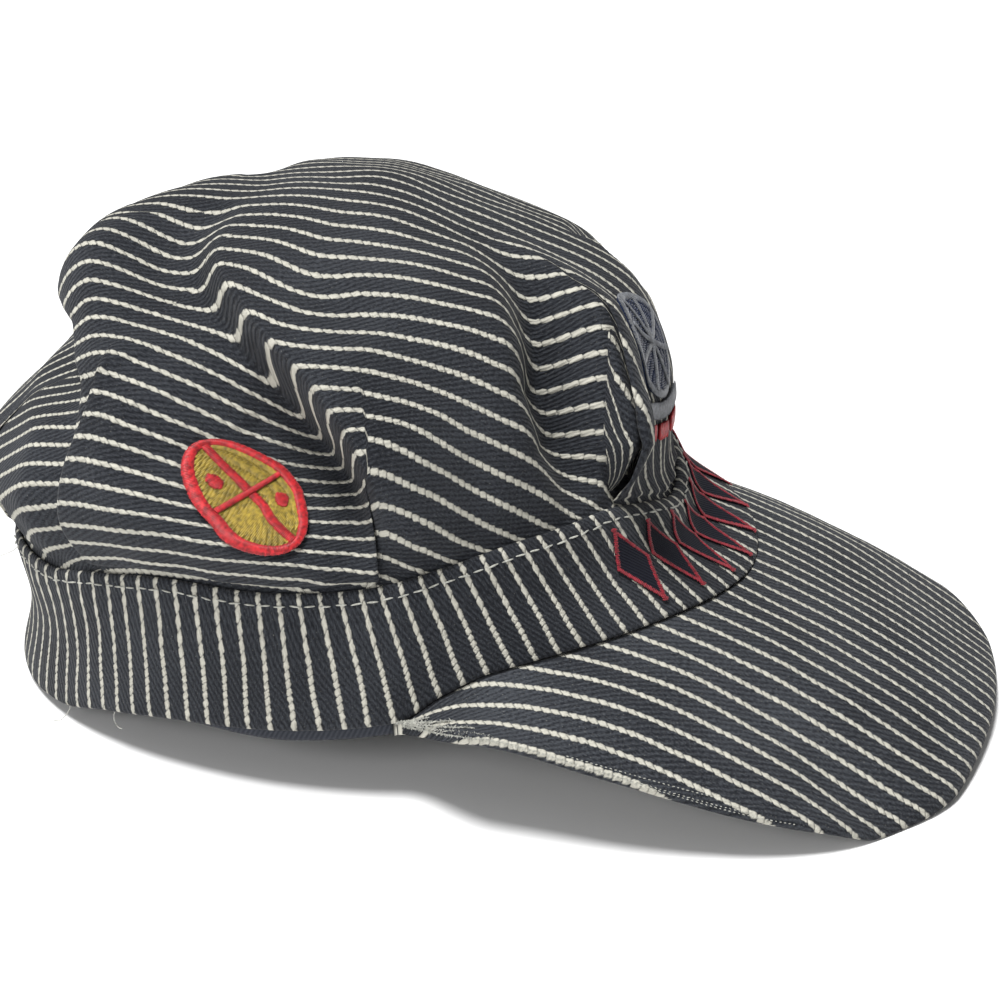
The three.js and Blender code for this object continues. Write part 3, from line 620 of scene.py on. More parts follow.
# The front panel's right edge leans towards the middle on its way up, and its pleat gapes.
front_edge_lean = [(0, 0), (0.13, 0.5), (0.24, -1), (0.36, -5), (0.48, -10), (0.62, -17), (1, -20)]
cloth_share = 0.62
# Segments of the cloth between two pleat edges, in order round the head. A middle of its own tells
# that the piece of cloth was not straight below its place before it was gathered.
segments = [
    (-23, 23, 0.55, 0.62, True, 0, 0.3, 1),
    (23, 71.5, 0.62, 0.36, False, 47.25, 1, 0),
    (71.5, 120.5, 0.36, 0.62, True, 96, 0, 0),
    (120.5, 157, 0.62, 0.4, False, 129, 0, 0),
    (157, 203, 0.4, 0.4, True, 180, 0, 0),
    (203, 239.5, 0.4, 0.5, False, 231, 0, 0),
    (239.5, 288.5, 0.5, 0.36, True, 264, 0, 0),
    (288.5, 337, 0.36, 0.55, False, 312.75, 0, 0.3),
]

row_count = 120
share = np.arange(row_count) / row_count
crown_ups = blend(share, share**1.35, 0.6)
crown_ups = np.append(crown_ups[crown_ups < 0.985], 0.993)
lean_at = curve_through([-0.1] + [row[0] for row in front_edge_lean] + [1.1],
                        [0] + [row[1] for row in front_edge_lean] + [-20], crown_ups)


def edge_place(deg):
    """A pleat edge's angle at each height."""
    return deg + (lean_at if deg == 23 else 0 * crown_ups)


deg_at, even_at, lift_at, flat_deg, ridge_at = [], [], [], [], []


def add_column(deg, even, lift, laid, ridge, segment):
    start, end, start_reach, end_reach, panel, middle, start_gape, end_gape = segment
    centre = (edge_place(start) + edge_place(end)) / 2
    reach = np.where(laid < centre, start_reach, end_reach)
    gather = blend(cloth_share, 1.0, smooth_step(crown_ups / (1.25 * reach)))
    fade = 1 - smooth_step(crown_ups / (1.6 * max(start_reach, end_reach)))
    shift = (middle - (start + end) / 2) * fade
    deg_at.append(deg)
    even_at.append(even)
    lift_at.append(lift)
    ridge_at.append(ridge)
    flat_deg.append(centre + (laid - centre) * gather + shift)


def add_edge(edge, toward, steps, reach, gape, segment):
    """Columns of one turned edge; toward is 1 where outside the panel means a larger angle."""
    for step in steps:
        outside_far, gaping, lift, laid, on_panel = step
        even = first_flat + (last_flat - first_flat) * flap_steps.index(step) / (len(flap_steps) - 1)
        hold = 1 - smooth_step((crown_ups - 0.2 * reach) / (0.65 * reach))
        outside = blend(even, outside_far + gaping * gape * smooth_step(crown_ups / 0.04), hold)
        deg = edge_place(edge) + toward * outside
        level = edge_place(edge) + toward * even
        flat_place = edge_place(edge) + toward * blend(even, laid, hold)
        plain_lift = pleat_height(level, crown_ups)
        ridge = np.ones(len(crown_ups)) if on_panel else 1 - hold * gape
        add_column(deg, level, blend(plain_lift, lift, hold), flat_place, ridge, segment)


gap_steps = [step for step in flap_steps if not step[4]]
panel_steps = [step for step in flap_steps if step[4]]
for segment in segments:
    start, end, start_reach, end_reach, panel, middle, start_gape, end_gape = segment
    steps = panel_steps if panel else gap_steps[::-1]
    toward = -1 if panel else 1
    add_edge(start, toward, steps, start_reach, start_gape, segment)
    inner_low = edge_place(start) + (2.2 if panel else 2.6)
    inner_high = edge_place(end) - (2.2 if panel else 2.6)
    count = int(round((end - start) / 1.3))
    for k in range(1, count):
        deg = blend(inner_low, inner_high, k / count)
        ridge = np.ones(len(crown_ups))
        if not panel:
            reach, gape = (start_reach, start_gape) if k < count / 2 else (end_reach, end_gape)
            ridge = 1 - gape * (1 - smooth_step((crown_ups - 0.2 * reach) / (0.65 * reach)))
        add_column(deg, deg, pleat_height(deg, crown_ups), deg, ridge, segment)
    add_edge(end, -toward, steps[::-1], end_reach, end_gape, segment)
deg_at, even_at, lift_at = np.array(deg_at), np.array(even_at), np.array(lift_at)
flat_deg, ridge_at = np.array(flat_deg), np.array(ridge_at)
lift_at *= np.maximum(0.15, smooth_step(crown_ups / 0.02))
columns = len(deg_at)
even_deg = even_at[:, 0]

outer = crown_point(deg_at, crown_ups[None, :], lift_at, 0.0, ridge_at)
inner_skin = crown_point(even_at, crown_ups[None, :], 0 * lift_at, crown_cloth, ridge_at)
base = crown_base(deg_at, crown_ups[None, :])[0]


def run_up(points):
    steps = np.linalg.norm(np.diff(points, axis=1), axis=2)
    return np.concatenate([np.zeros((points.shape[0], 1)), np.cumsum(steps, 1)], 1)


def spread_round(values, reach):
    """Values of each column averaged softly with those of its neighbours."""
    place = np.cumsum(np.concatenate([[0], np.maximum(np.diff(even_deg), 0)]))
    apart = np.abs((place[:, None] - place[None, :] + 180) % 360 - 180)
    weight = np.exp(-((apart / reach) ** 2)) * np.gradient(place)[None, :].clip(0.05)
    return weight @ values / weight.sum(1, keepdims=True)


top_outer = crown_point(np.array([0.0]), np.array([1.0]), 0.0)[0]
top_inner = crown_point(np.array([0.0]), np.array([1.0]), 0.0, crown_cloth)[0]
base_run = run_up(base)
real_run = run_up(outer)
whole = base_run[:, -1:] + np.linalg.norm(base[:, -1] - top_outer, axis=1)[:, None]
extra = spread_round(real_run - base_run, 13)
hold_hem = 1 - smooth_step((crown_ups[None, :] - 0.4) / 0.55)
pushed = fold_depth(deg_at, crown_ups[None, :] + 0 * deg_at, 0.0, plain_folds)
radius = whole - base_run - hold_hem * 0.8 * extra - 0.5 * pushed
turn = np.radians(flat_deg)
crown_uv = np.stack([-radius * np.sin(turn), radius * np.cos(turn)], -1)

hem_shares = [1 - crown_hem_share, 0.9, 1.0]
rows = len(hem_shares) + len(crown_ups)
faces = []
points = []
flat = []
for skin, depth in ((outer, outer_depth), (inner_skin, outer_depth + crown_cloth)):
    hem = band_point(even_deg[:, None], np.array(hem_shares)[None, :], depth)
    points.append(np.concatenate([hem, skin], 1).reshape(-1, 3))
    hem_drop = (1.03 - np.array(hem_shares)) * band_height * 0.9
    hem_radius = radius[:, :1] + hem_drop[None, :]
    hem_uv = np.stack([-hem_radius * np.sin(turn[:, :1]), hem_radius * np.cos(turn[:, :1])], -1)
    flat.append(np.concatenate([hem_uv, crown_uv], 1).reshape(-1, 2))
inner_start = columns * rows
for i in range(columns):
    after = (i + 1) % columns
    for j in range(rows - 1):
        a, b = i * rows + j, after * rows + j
        faces.append((a, a + 1, b + 1, b))
        faces.append((inner_start + a, inner_start + b, inner_start + b + 1, inner_start + a + 1))
    a, b = i * rows, after * rows
    faces.append((a, b, inner_start + b, inner_start + a))
points = np.concatenate(points + [top_outer[None], top_inner[None]])
flat = np.concatenate(flat + [np.zeros((2, 2))])
outer_pole = len(points) - 2
caps = []
for i in range(columns):
    after = (i + 1) % columns
    a, b = i * rows + rows - 1, after * rows + rows - 1
    caps.append((a, outer_pole, b))
    caps.append((inner_start + a, inner_start + b, outer_pole + 1))
quads = np.array(faces)
triangles = np.concatenate([quads[:, [0, 1, 2]], quads[:, [0, 2, 3]], np.array(caps)])
crown = cloth_object("crown_cloth", points, triangles, flat, crown_twill)
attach(crown, "root")
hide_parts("crown")


# Bill.
# A stiff board about 3 mm thick, wrapped in the same twill and sewn in under the band.
# Its stripes run fore and aft, and the cloth is worn pale along the rolled edge.
bill_thickness = 3.2
bill_root_deg = 74.5
bill_root_inset = 1.1
bill_forward = 167.5
bill_half_width = 90.7
bill_crown = 3
# Place along the band, then how far out and how far forward the edge is, and its drop in mm.
bill_rows = [
    (-1, 0.858, 0.186, -8.8), (-0.94, 0.975, 0.31, -12.6), (-0.85, 0.985, 0.475, -7),
    (-0.7, 0.938, 0.664, 4.1), (-0.55, 0.838, 0.803, 13.1), (-0.4, 0.696, 0.889, 20.1),
    (-0.2, 0.448, 0.973, 19.3), (0, 0, 1, 17.9), (0.2, -0.448, 0.973, 21), (0.4, -0.696, 0.889, 16),
    (0.55, -0.838, 0.803, 16), (0.7, -0.938, 0.664, 17.5), (0.85, -0.985, 0.475, 15),
    (0.94, -0.975, 0.31, 6), (1, -0.858, 0.186, -7.6),
]
bill_dark = (0.006, 0.0072, 0.0105)
bill_light = (0.050, 0.055, 0.064)
bill_wear = 0.12
bill_twill = hickory_twill("hickory_twill_bill", bill_dark, bill_light, cream, bill_wear)


def read_along(rows_given, column, at):
    xs = [row[0] for row in rows_given]
    ys = [row[column] for row in rows_given]
    xs = [2 * xs[0] - xs[1]] + xs + [2 * xs[-1] - xs[-2]]
    ys = [2 * ys[0] - ys[1]] + ys + [2 * ys[-1] - ys[-2]]
    return curve_through(xs, ys, at)


def bill_point(side, share):
    """Upper face of the bill: side -1 to 1 along the band, share 0 at the band, 1 at the edge."""
    side, share = np.broadcast_arrays(np.asarray(side, float), np.asarray(share, float))
    root = band_point(-side * bill_root_deg, 0, bill_root_inset)
    root[..., 2] -= layer_gap
    edge = np.stack([-bill_half_width * read_along(bill_rows, 1, side),
                     -bill_forward * read_along(bill_rows, 2, side),
                     -read_along(bill_rows, 3, side)], -1)
    point = blend(root, edge, share[..., None])
    spread = np.minimum(1, np.linalg.norm(edge - root, axis=-1) / 60)
    point[..., 2] += bill_crown * spread * np.sin(np.pi * share)
    return point


even = np.linspace(-1, 1, 241)
bill_sides = blend(even, np.sin(even * np.pi / 2), 0.6)
bill_shares = np.append(np.linspace(0, 0.955, 50), [0.97, 0.982, 0.991, 0.9965])
edge_start = 0.965
section = []
for share in bill_shares:
    past = max(0.0, (share - edge_start) / (1 - edge_start))
    section.append((share, 0.5 - 0.5 * math.sqrt(max(0.0, 1 - past**2))))
section += [(1.0, 0.5)]
section += [(share, 1 - under) for share, under in reversed(section[:-1])]
bill_grid = []
for share, under in section:
    face = bill_point(bill_sides, share)
    soft = 0.25 * ripple(face, 34, 31) + 0.08 * ripple(face, 9, 32)
    face[:, 2] += soft * (1 if under < 0.5 else -0.4) * np.minimum(1, (1 - share) / 0.1)
    face[:, 2] -= bill_thickness * under
    bill_grid.append(face)
bill_grid = np.stack(bill_grid, 1)
bill_columns, rows = bill_grid.shape[:2]
faces = []
flat_bill = bill_grid[:, :, :2] * np.array([1.0, -1.0])
# Over the rolled edge the cloth's own length counts, so that a stripe keeps its width there.
last_flat_row = int(np.argmax(bill_shares > 0.93))
turn_row = len(bill_shares)
way = unit(flat_bill[:, last_flat_row] - flat_bill[:, last_flat_row - 4])
over_edge = np.linalg.norm(np.diff(bill_grid[:, last_flat_row:turn_row + 6], axis=1), axis=2)
over_edge = np.concatenate([np.zeros((bill_columns, 1)), np.cumsum(over_edge, 1)], 1)
flat_bill[:, last_flat_row:turn_row + 6] = (
    flat_bill[:, last_flat_row][:, None] + way[:, None] * over_edge[..., None])
for i in range(bill_columns - 1):
    for j in range(rows):
        above = (j + 1) % rows
        faces.append((i * rows + j, i * rows + above, (i + 1) * rows + above, (i + 1) * rows + j))
for end, flip in ((0, False), (bill_columns - 1, True)):
    for j in range(rows // 2):
        low = rows - 1 - j
        quad = (end * rows + j, end * rows + low, end * rows + low - 1, end * rows + j + 1)
        if low - 1 > j + 1:
            faces.append(quad[::-1] if flip else quad)
quads = np.array(faces)
bill = cloth_object("bill_cloth", bill_grid, quads, flat_bill.reshape(-1, 2), bill_twill)
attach(bill, "root")
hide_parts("bill")


# Band topstitch.
# A line of pale thread about 3 mm under the band's upper edge. It closes the folded strip over the
# crown's gathered edge. Each stitch is a short run of thread that dips into the cloth at its ends.
topstitch_below_edge = 3.0
topstitch_radius = 0.26
topstitch_lift = 0.12
stitch_length = 3.1
stitch_step = 3.9


def thread_material(name, colour, shade=0.45, roughness=0.5):
    """Embroidery or sewing thread, uneven in tone from strand to strand."""
    look = Look(name, roughness, 0.35, 0.15)
    spot = look.object_spot()
    strands = look.ramp(look.noise(spot, 900, 2.0, 0.6), 0.25, 0.75)
    worn = look.ramp(look.noise(spot, 120), 0.35, 0.7, 0.0, 0.35)
    dark = tuple(shade * c for c in colour)
    look.colour(look.mix(worn, look.mix(strands, dark, colour), dark))
    return look.material


def stitch_tree():
    """Geometry nodes that set one rounded stitch at even steps along guide lines. The guides carry
    each stitch's direction and half length in their attribute lay."""
    tree = bpy.data.node_groups.new("stitches_along_guides", "GeometryNodeTree")
    face = tree.interface
    face.new_socket(name="Guides", in_out="INPUT", socket_type="NodeSocketGeometry")
    for label, value in (("Step", 0.004), ("Thread radius", 0.0003), ("Unevenness", 0.1)):
        socket = face.new_socket(name=label, in_out="INPUT", socket_type="NodeSocketFloat")
        socket.default_value = value
    face.new_socket(name="Thread", in_out="INPUT", socket_type="NodeSocketMaterial")
    face.new_socket(name="Stitches", in_out="OUTPUT", socket_type="NodeSocketGeometry")

    def node(kind, inputs, **settings):
        made = tree.nodes.new(kind)
        for key, value in settings.items():
            setattr(made, key, value)
        for label, value in inputs.items():
            if isinstance(value, bpy.types.NodeSocket):
                tree.links.new(value, made.inputs[label])
            else:
                made.inputs[label].default_value = value
        return made.outputs

    given = node("NodeGroupInput", {})
    curve = node("GeometryNodeMeshToCurve", {"Mesh": given["Guides"]})
    steps = node("GeometryNodeResampleCurve", {"Curve": curve["Curve"], "Length": given["Step"]},
                 mode="LENGTH")
    lay = node("GeometryNodeInputNamedAttribute", {"Name": "lay"}, data_type="FLOAT_VECTOR")["Attribute"]
    size = node("ShaderNodeVectorMath", {0: lay}, operation="LENGTH")["Value"]
    chance = node("FunctionNodeRandomValue", {"Min": (-1, -1, -1), "Max": (1, 1, 1), "Seed": 17},
                  data_type="FLOAT_VECTOR")["Value"]
    part = node("ShaderNodeMath", {0: size, 1: given["Unevenness"]}, operation="MULTIPLY")["Value"]
    stray = node("ShaderNodeVectorMath", {0: chance, "Scale": part}, operation="SCALE")["Vector"]
    along = node("ShaderNodeVectorMath", {0: lay, 1: stray})["Vector"]
    turn = node("FunctionNodeAlignRotationToVector", {"Vector": along}, axis="Z")["Rotation"]
    length = node("ShaderNodeVectorMath", {0: along}, operation="LENGTH")["Value"]
    radius = given["Thread radius"]
    stretch = node("ShaderNodeCombineXYZ", {"X": radius, "Y": radius, "Z": length})["Vector"]
    ball = node("GeometryNodeMeshUVSphere", {"Segments": 6, "Rings": 5, "Radius": 1.0})["Mesh"]
    placed = node("GeometryNodeInstanceOnPoints",
                  {"Points": steps["Curve"], "Instance": ball, "Rotation": turn, "Scale": stretch})
    real = node("GeometryNodeRealizeInstances", {"Geometry": placed["Instances"]})
    finish = node("GeometryNodeSetMaterial", {"Geometry": real["Geometry"], "Material": given["Thread"]})
    node("NodeGroupOutput", {"Stitches": finish["Geometry"]})
    return tree


stitches_along_guides = stitch_tree()


def sew(name, lines, step, radius, material, unevenness=0.08, closed=False):
    """Stitches along guide lines, made real. Each line is its points and their half stitches, in mm."""
    points, lays, edges = [], [], []
    for line, lay in lines:
        first, count = len(points), len(line)
        points.extend(line)
        lays.extend(lay)
        edges.extend((first + k, first + k + 1) for k in range(count - 1))
        if closed:
            edges.append((first + count - 1, first))
    guide_mesh = bpy.data.meshes.new(name + "_guides")
    guide_mesh.from_pydata(put_down(np.array(points)).tolist(), edges, [])
    stored = guide_mesh.attributes.new("lay", "FLOAT_VECTOR", "POINT")
    stored.data.foreach_set("vector", (np.array(lays) @ settle.T / 1000).astype(np.float32).ravel())
    guides = bpy.data.objects.new(name + "_guides", guide_mesh)
    bpy.context.scene.collection.objects.link(guides)
    modifier = guides.modifiers.new("stitches", "NODES")
    modifier.node_group = stitches_along_guides
    values = {"Step": step / 1000, "Thread radius": radius / 1000, "Unevenness": unevenness,
              "Thread": material}
    for socket in stitches_along_guides.interface.items_tree:
        if socket.in_out == "INPUT" and socket.name in values:
            modifier[socket.identifier] = values[socket.name]
    bpy.context.view_layer.update()
    finished = guides.evaluated_get(bpy.context.evaluated_depsgraph_get())
    mesh = bpy.data.meshes.new_from_object(finished)
    mesh.name = name
    mesh.shade_smooth()
    guides.modifiers.remove(modifier)
    bpy.data.objects.remove(guides)
    made = bpy.data.objects.new(name, mesh)
    bpy.context.scene.collection.objects.link(made)
    return made


pale_thread = thread_material("pale_sewing_thread", (0.50, 0.50, 0.45), 0.5, 0.6)
seam_degs = np.arange(900) * 0.4
seam_height = np.linalg.norm(band_point(seam_degs, 1, 0) - band_point(seam_degs, 0, 0), axis=1)
seam_shares = 1 - topstitch_below_edge / seam_height
seam_line = band_skin(seam_degs, seam_shares, 0) + oval_outward(seam_degs, band_reach) * topstitch_lift
seam_lay = unit(np.roll(seam_line, -1, 0) - np.roll(seam_line, 1, 0)) * stitch_length / 2
topstitch = sew("band_topstitch", [(seam_line, seam_lay)], stitch_step, topstitch_radius,
                pale_thread, 0.06, True)
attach(topstitch, "root")


# Worn thread ends.
# Pale cotton fluff where the bill's near corner has frayed at the band, a dotted line of worn weft
# along the near rolled edge, and three loose thread ends at the band.
# Fluff and weft: from and to along the band, share of the bill's length, and mm below its face.
fluff_rows = [(-1.0, -0.955, 0.35, 0.0), (-1.0, -0.94, 0.6, 0.1), (-1.0, -0.93, 0.8, 0.2),
              (-1.0, -0.92, 0.93, 0.6), (-1.0, -0.9, 0.985, 1.2)]
worn_rows = [(-0.93, -0.66, 0.985, 2.1), (-0.9, -0.6, 0.997, 2.7), (-0.86, -0.7, 0.95, 0.0)]
# Loose ends: angle, share of the band's height, and how far the end hangs backwards and up in mm.
loose_rows = [(153, 0.92, 5.0, -3.0), (131, 0.0, 2.5, -4.0), (119, 0.0, -3.0, -3.5)]
fluff_lines = []
for start, end, share, below in fluff_rows:
    sides = np.linspace(start, end, 40)
    path = bill_point(sides, share) + np.array([0.0, 0.0, 0.25]) - np.array([0.0, 0.0, below])
    fluff_lines.append((path, np.tile([[-0.3, -0.2, 0.15]], (40, 1))))
worn_lines = []
for start, end, share, below in worn_rows:
    sides = np.linspace(start, end, 90)
    path = bill_point(sides, share) + np.array([-0.15, 0.0, 0.12 - below * 0.35])
    worn_lines.append((path, unit(np.gradient(path, axis=0)) * 0.3))
loose_lines = []
for deg, share, back, rise in loose_rows:
    start = band_point(deg, share, 0) + oval_outward(np.array([deg]), band_reach)[0] * 0.3
    bend = np.linspace(0, 1, 14)[:, None]
    away = oval_outward(np.array([deg]), band_reach)[0]
    hang = np.array([0, 1.0, 0]) * back * bend**2
    path = start + away * 2.2 * bend + hang + np.array([0, 0, 1.0]) * rise * bend
    path[:, 2] = np.maximum(path[:, 2], start[2] - 3.0)
    loose_lines.append((path, unit(np.gradient(path, axis=0)) * 0.5))
fluff = sew("bill_fluff", fluff_lines, 0.16, 0.11, pale_thread, 1.6)
worn_weft = sew("bill_worn_weft", worn_lines, 1.15, 0.13, pale_thread, 0.3)
loose_ends = sew("loose_thread_ends", loose_lines, 0.6, 0.12, pale_thread, 0.15)
for piece in (fluff, worn_weft, loose_ends):
    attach(piece, "root")


# Side badge.
# An oval embroidered patch of gold thread with a red satin edge, a red cross and two red dots.
# It is sewn flat on the wearer's right panel, so it bends with the slack cloth.
badge_long = 24.5
badge_wide = 11.2
badge_tilt = -47
badge_deg = 92.6
badge_up = 0.192
badge_edge_width = 3.0
badge_arm_width = 2.2
badge_dot_radius = 1.7
dot_stretch = 1.8
badge_gold_lift = 1.1
badge_edge_lift = 1.25
badge_arm_lifts = (1.35, 1.75)
badge_dot_lift = 1.5
satin_step = 0.42
patch_low = 0.15
patch_reach = 40
# A patch is stiffer than the cloth, so it follows the pleats' height averaged over these degrees.
soft_span = np.linspace(-7, 7, 9)


def calmed(place):
    """The same surface, worked out once on a grid, smoothed over near neighbours and read from there."""
    marks = np.arange(-patch_reach, patch_reach + 1.0)
    grid = place(*np.meshgrid(marks, marks, indexing="ij"))
    for axis in (0, 1):
        for _ in range(2):
            ends = np.take(grid, [0, 0], axis), np.take(grid, [-1, -1], axis)
            padded = np.concatenate([ends[0], grid, ends[1]], axis)
            parts = [np.take(padded, np.arange(k, k + len(marks)), axis) for k in range(5)]
            grid = sum(parts) / 5

    def read(right, above):
        right, above = np.broadcast_arrays(np.asarray(right, float), np.asarray(above, float))
        across = np.clip(right + patch_reach, 0, len(marks) - 1.001)
        along = np.clip(above + patch_reach, 0, len(marks) - 1.001)
        i, j = across.astype(int), along.astype(int)
        u, v = (across - i)[..., None], (along - j)[..., None]
        near = blend(grid[i, j], grid[i, j + 1], v)
        far = blend(grid[i + 1, j], grid[i + 1, j + 1], v)
        return blend(near, far, u)

    return read


def crown_around(middle_deg, middle_up):
    """Places on the crown's cloth round a middle, in mm to the right and above."""
    side = crown_point(np.array([middle_deg - 4.0, middle_deg + 4.0]), middle_up, 0)
    rise = crown_point(middle_deg, np.array([middle_up - 0.05, middle_up + 0.05]), 0)
    deg_size = np.linalg.norm(side[1] - side[0]) / 8
    up_size = np.linalg.norm(rise[1] - rise[0]) / 0.1

    def place(right, above):
        deg = middle_deg - np.asarray(right, float) / deg_size
        up = middle_up + np.asarray(above, float) / up_size
        lift = sum(pleat_height(deg + aside, up) for aside in soft_span) / len(soft_span)
        return crown_point(deg, up, lift)

    return calmed(place)


def raised(surface, places, lift):
    """Points over a surface at places (right, above) in mm, lifted along the surface's normal."""
    places = np.asarray(places, float)
    right, above = places[..., 0], places[..., 1]
    across = surface(right + 1.2, above) - surface(right - 1.2, above)
    along = surface(right, above + 1.2) - surface(right, above - 1.2)
    return surface(right, above) + unit(np.cross(across, along)) * np.asarray(lift, float)[..., None]


def laid(surface, path, half, lift):
    """A guide line over a surface, with the half stitch at each of its places, all in patch mm."""
    path, half = np.asarray(path, float), np.broadcast_to(np.asarray(half, float), np.shape(path))
    ends = raised(surface, path + half, lift) - raised(surface, path - half, lift)
    return raised(surface, path, lift), ends / 2


def patch(name, outline, surface, thickness, material):
    """A thin piece of cloth lying on a surface; its outline is a ring of places round its middle."""
    outline = np.asarray(outline, float)
    count = len(outline)
    high = patch_low + thickness
    section = [(share, high) for share in (0.12, 0.25, 0.4, 0.55, 0.7, 0.82, 0.91, 0.96)]
    section += [(0.985, high - 0.2 * thickness), (1.0, high - 0.6 * thickness), (0.99, patch_low)]
    section += [(share, patch_low) for share in (0.9, 0.6, 0.3)]
    points = [raised(surface, outline * share, lift) for share, lift in section]
    points += [raised(surface, np.zeros((1, 2)), high), raised(surface, np.zeros((1, 2)), patch_low)]
    flat = [outline * share for share, lift in section] + [np.zeros((2, 2))]
    top, bottom = len(section) * count, len(section) * count + 1
    faces = []
    for k in range(count):
        after = (k + 1) % count
        faces.append((top, k, after))
        for ring in range(len(section) - 1):
            a, b = ring * count + k, ring * count + after
            faces += [(a, a + count, b + count), (a, b + count, b)]
        faces.append((bottom, (len(section) - 1) * count + after, (len(section) - 1) * count + k))
    return cloth_object(name, np.concatenate(points), faces, np.concatenate(flat), material)


def oval_outline(long, wide, tilt, count):
    turn = np.arange(count) * 2 * np.pi / count
    lean = math.radians(tilt)
    along, across = long * np.cos(turn), wide * np.sin(turn)
    return np.stack([along * math.cos(lean) - across * math.sin(lean),
                     along * math.sin(lean) + across * math.cos(lean)], -1)


def cornered_outline(corners, width, height, per_side):
    """A ring of places along straight sides; the corners are shares of the width and height."""
    corners = np.array(corners) * np.array([width, height])
    steps = np.arange(per_side)[:, None] / per_side
    sides = [blend(start, end, steps) for start, end in zip(corners, np.roll(corners, -1, 0))]
    return np.concatenate(sides)


def edge_inwards(outline, width):
    """The middle line of a satin edge just inside an outline, and its half stitches."""
    tangent = unit(np.roll(outline, -1, 0) - np.roll(outline, 1, 0))
    inward = np.stack([-tangent[:, 1], tangent[:, 0]], -1)
    return outline + inward * width / 2, inward * width / 2


def fill_rows(long, wide, tilt, step, turn, half):
    """Rows of running stitches over an oval, as paths with their half stitches."""
    lean, slope = math.radians(tilt), math.radians(turn)
    axes = np.array([[math.cos(lean), math.sin(lean)], [-math.sin(lean), math.cos(lean)]])
    along = np.array([math.cos(slope), math.sin(slope)])
    across = np.array([-along[1], along[0]])
    scaled = axes / np.array([[long], [wide]])
    run_in, step_in = scaled @ along, scaled @ across
    rows_found = []
    reach = max(long, wide)
    for number, offset in enumerate(np.arange(-reach, reach, step)):
        a, b = run_in @ run_in, 2 * offset * run_in @ step_in
        c = offset**2 * step_in @ step_in - 1
        if b * b - 4 * a * c < 0.3 * a:
            continue
        root = math.sqrt(b * b - 4 * a * c)
        low, high = (-b - root) / (2 * a), (-b + root) / (2 * a)
        shift = (number % 3) * half * 0.62
        marks = np.linspace(low + min(shift, 0.3 * (high - low)), high, max(4, int(high - low)))
        rows_found.append((marks[:, None] * along + offset * across, along * half))
    return rows_found


red_thread = thread_material("red_satin_thread", (0.60, 0.018, 0.026), 0.3, 0.42)
# The red satin thread again, painted darker as shade, for the band lozenges' edges.
shaded_red_thread = thread_material("shaded_red_satin_thread", (0.34, 0.012, 0.028), 0.35, 0.5)
gold_thread = thread_material("gold_thread", (0.46, 0.33, 0.045), 0.3, 0.4)
gold_cloth = plain_twill("gold_patch_cloth", (0.10, 0.075, 0.014), (0.22, 0.16, 0.03))
badge_surface = crown_around(badge_deg, badge_up)
badge_cut = oval_outline(badge_long - 0.6, badge_wide - 0.6, badge_tilt, 72)
badge = patch("badge_cloth", badge_cut, badge_surface, 1.0, gold_cloth)
gold_rows = fill_rows(badge_long - 3.2, badge_wide - 3.2, badge_tilt, 0.5, 62, 1.5)
gold_lines = [laid(badge_surface, path, half, badge_gold_lift) for path, half in gold_rows]
badge_gold = sew("badge_gold_stitches", gold_lines, 2.7, 0.31, gold_thread, 0.05)
edge_oval = oval_outline(badge_long, badge_wide, badge_tilt, 180)
edge_path, edge_half = edge_inwards(edge_oval, badge_edge_width)
edge_line = laid(badge_surface, edge_path, edge_half, badge_edge_lift)
badge_edge = sew("badge_edge", [edge_line], satin_step, 0.5, red_thread, 0.05, True)
lean = math.radians(badge_tilt)
long_way = np.array([math.cos(lean), math.sin(lean)])
wide_way = np.array([-math.sin(lean), math.cos(lean)])
marks = np.linspace(-1, 1, 60)[:, None]
red_lines = []
for way, length, side_way, lift in ((long_way, badge_long, wide_way, badge_arm_lifts[0]),
                                    (wide_way, badge_wide, long_way, badge_arm_lifts[1])):
    arm = marks * way * (length - 3)
    red_lines.append(laid(badge_surface, arm, side_way * badge_arm_width / 2, lift))
for side in (-1, 1):
    middle = side * (0.36 * long_way * badge_long + 0.38 * wide_way * badge_wide)
    offsets = np.linspace(-0.95, 0.95, 14)[:, None] * badge_dot_radius * dot_stretch
    halves = np.sqrt(badge_dot_radius**2 - (offsets / dot_stretch) ** 2) * wide_way
    red_lines.append(laid(badge_surface, middle + offsets * long_way, halves, badge_dot_lift))
badge_cross = sew("badge_cross", red_lines, satin_step, 0.36, red_thread, 0.05)
for piece in (badge, badge_gold, badge_edge, badge_cross):
    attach(piece, "root")
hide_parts("side_badge")


# Front emblem.
# A wheel on a track, embroidered on the front panel: a blue disc with a grey rim and spokes, a grey
# rail and three red ties. Only its edge shows from the wearer's right.
emblem_radius = 15
emblem_deg = 3
emblem_up = 0.32
rail_size = (30, 5)
rail_drop = 18
tie_size = (7, 5)
tie_drop = 24
tie_step = 11
spoke_count = 4
emblem_stitch_lift = 0.95
rail_stitch_lift = 0.9
emblem_step = 0.45
box_corners = [(-0.5, -0.5), (0.5, -0.5), (0.5, 0.5), (-0.5, 0.5)]
blue_thread = thread_material("blue_thread", (0.008, 0.020, 0.062), 0.45, 0.5)
grey_thread = thread_material("grey_thread", (0.20, 0.21, 0.23), 0.4, 0.5)
blue_cloth = plain_twill("blue_patch_cloth", (0.006, 0.011, 0.03), (0.014, 0.026, 0.07))
grey_cloth = plain_twill("grey_patch_cloth", (0.06, 0.065, 0.07), (0.13, 0.135, 0.145))
red_cloth = plain_twill("red_patch_cloth", (0.14, 0.008, 0.01), (0.3, 0.014, 0.018))
emblem_surface = crown_around(emblem_deg, emblem_up)
disc_cut = oval_outline(emblem_radius - 0.4, emblem_radius - 0.4, 0, 56)
disc = patch("emblem_disc_cloth", disc_cut, emblem_surface, 0.8, blue_cloth)
blue_rows = fill_rows(emblem_radius - 1.6, emblem_radius - 1.6, 0, 0.6, 0, 1.8)
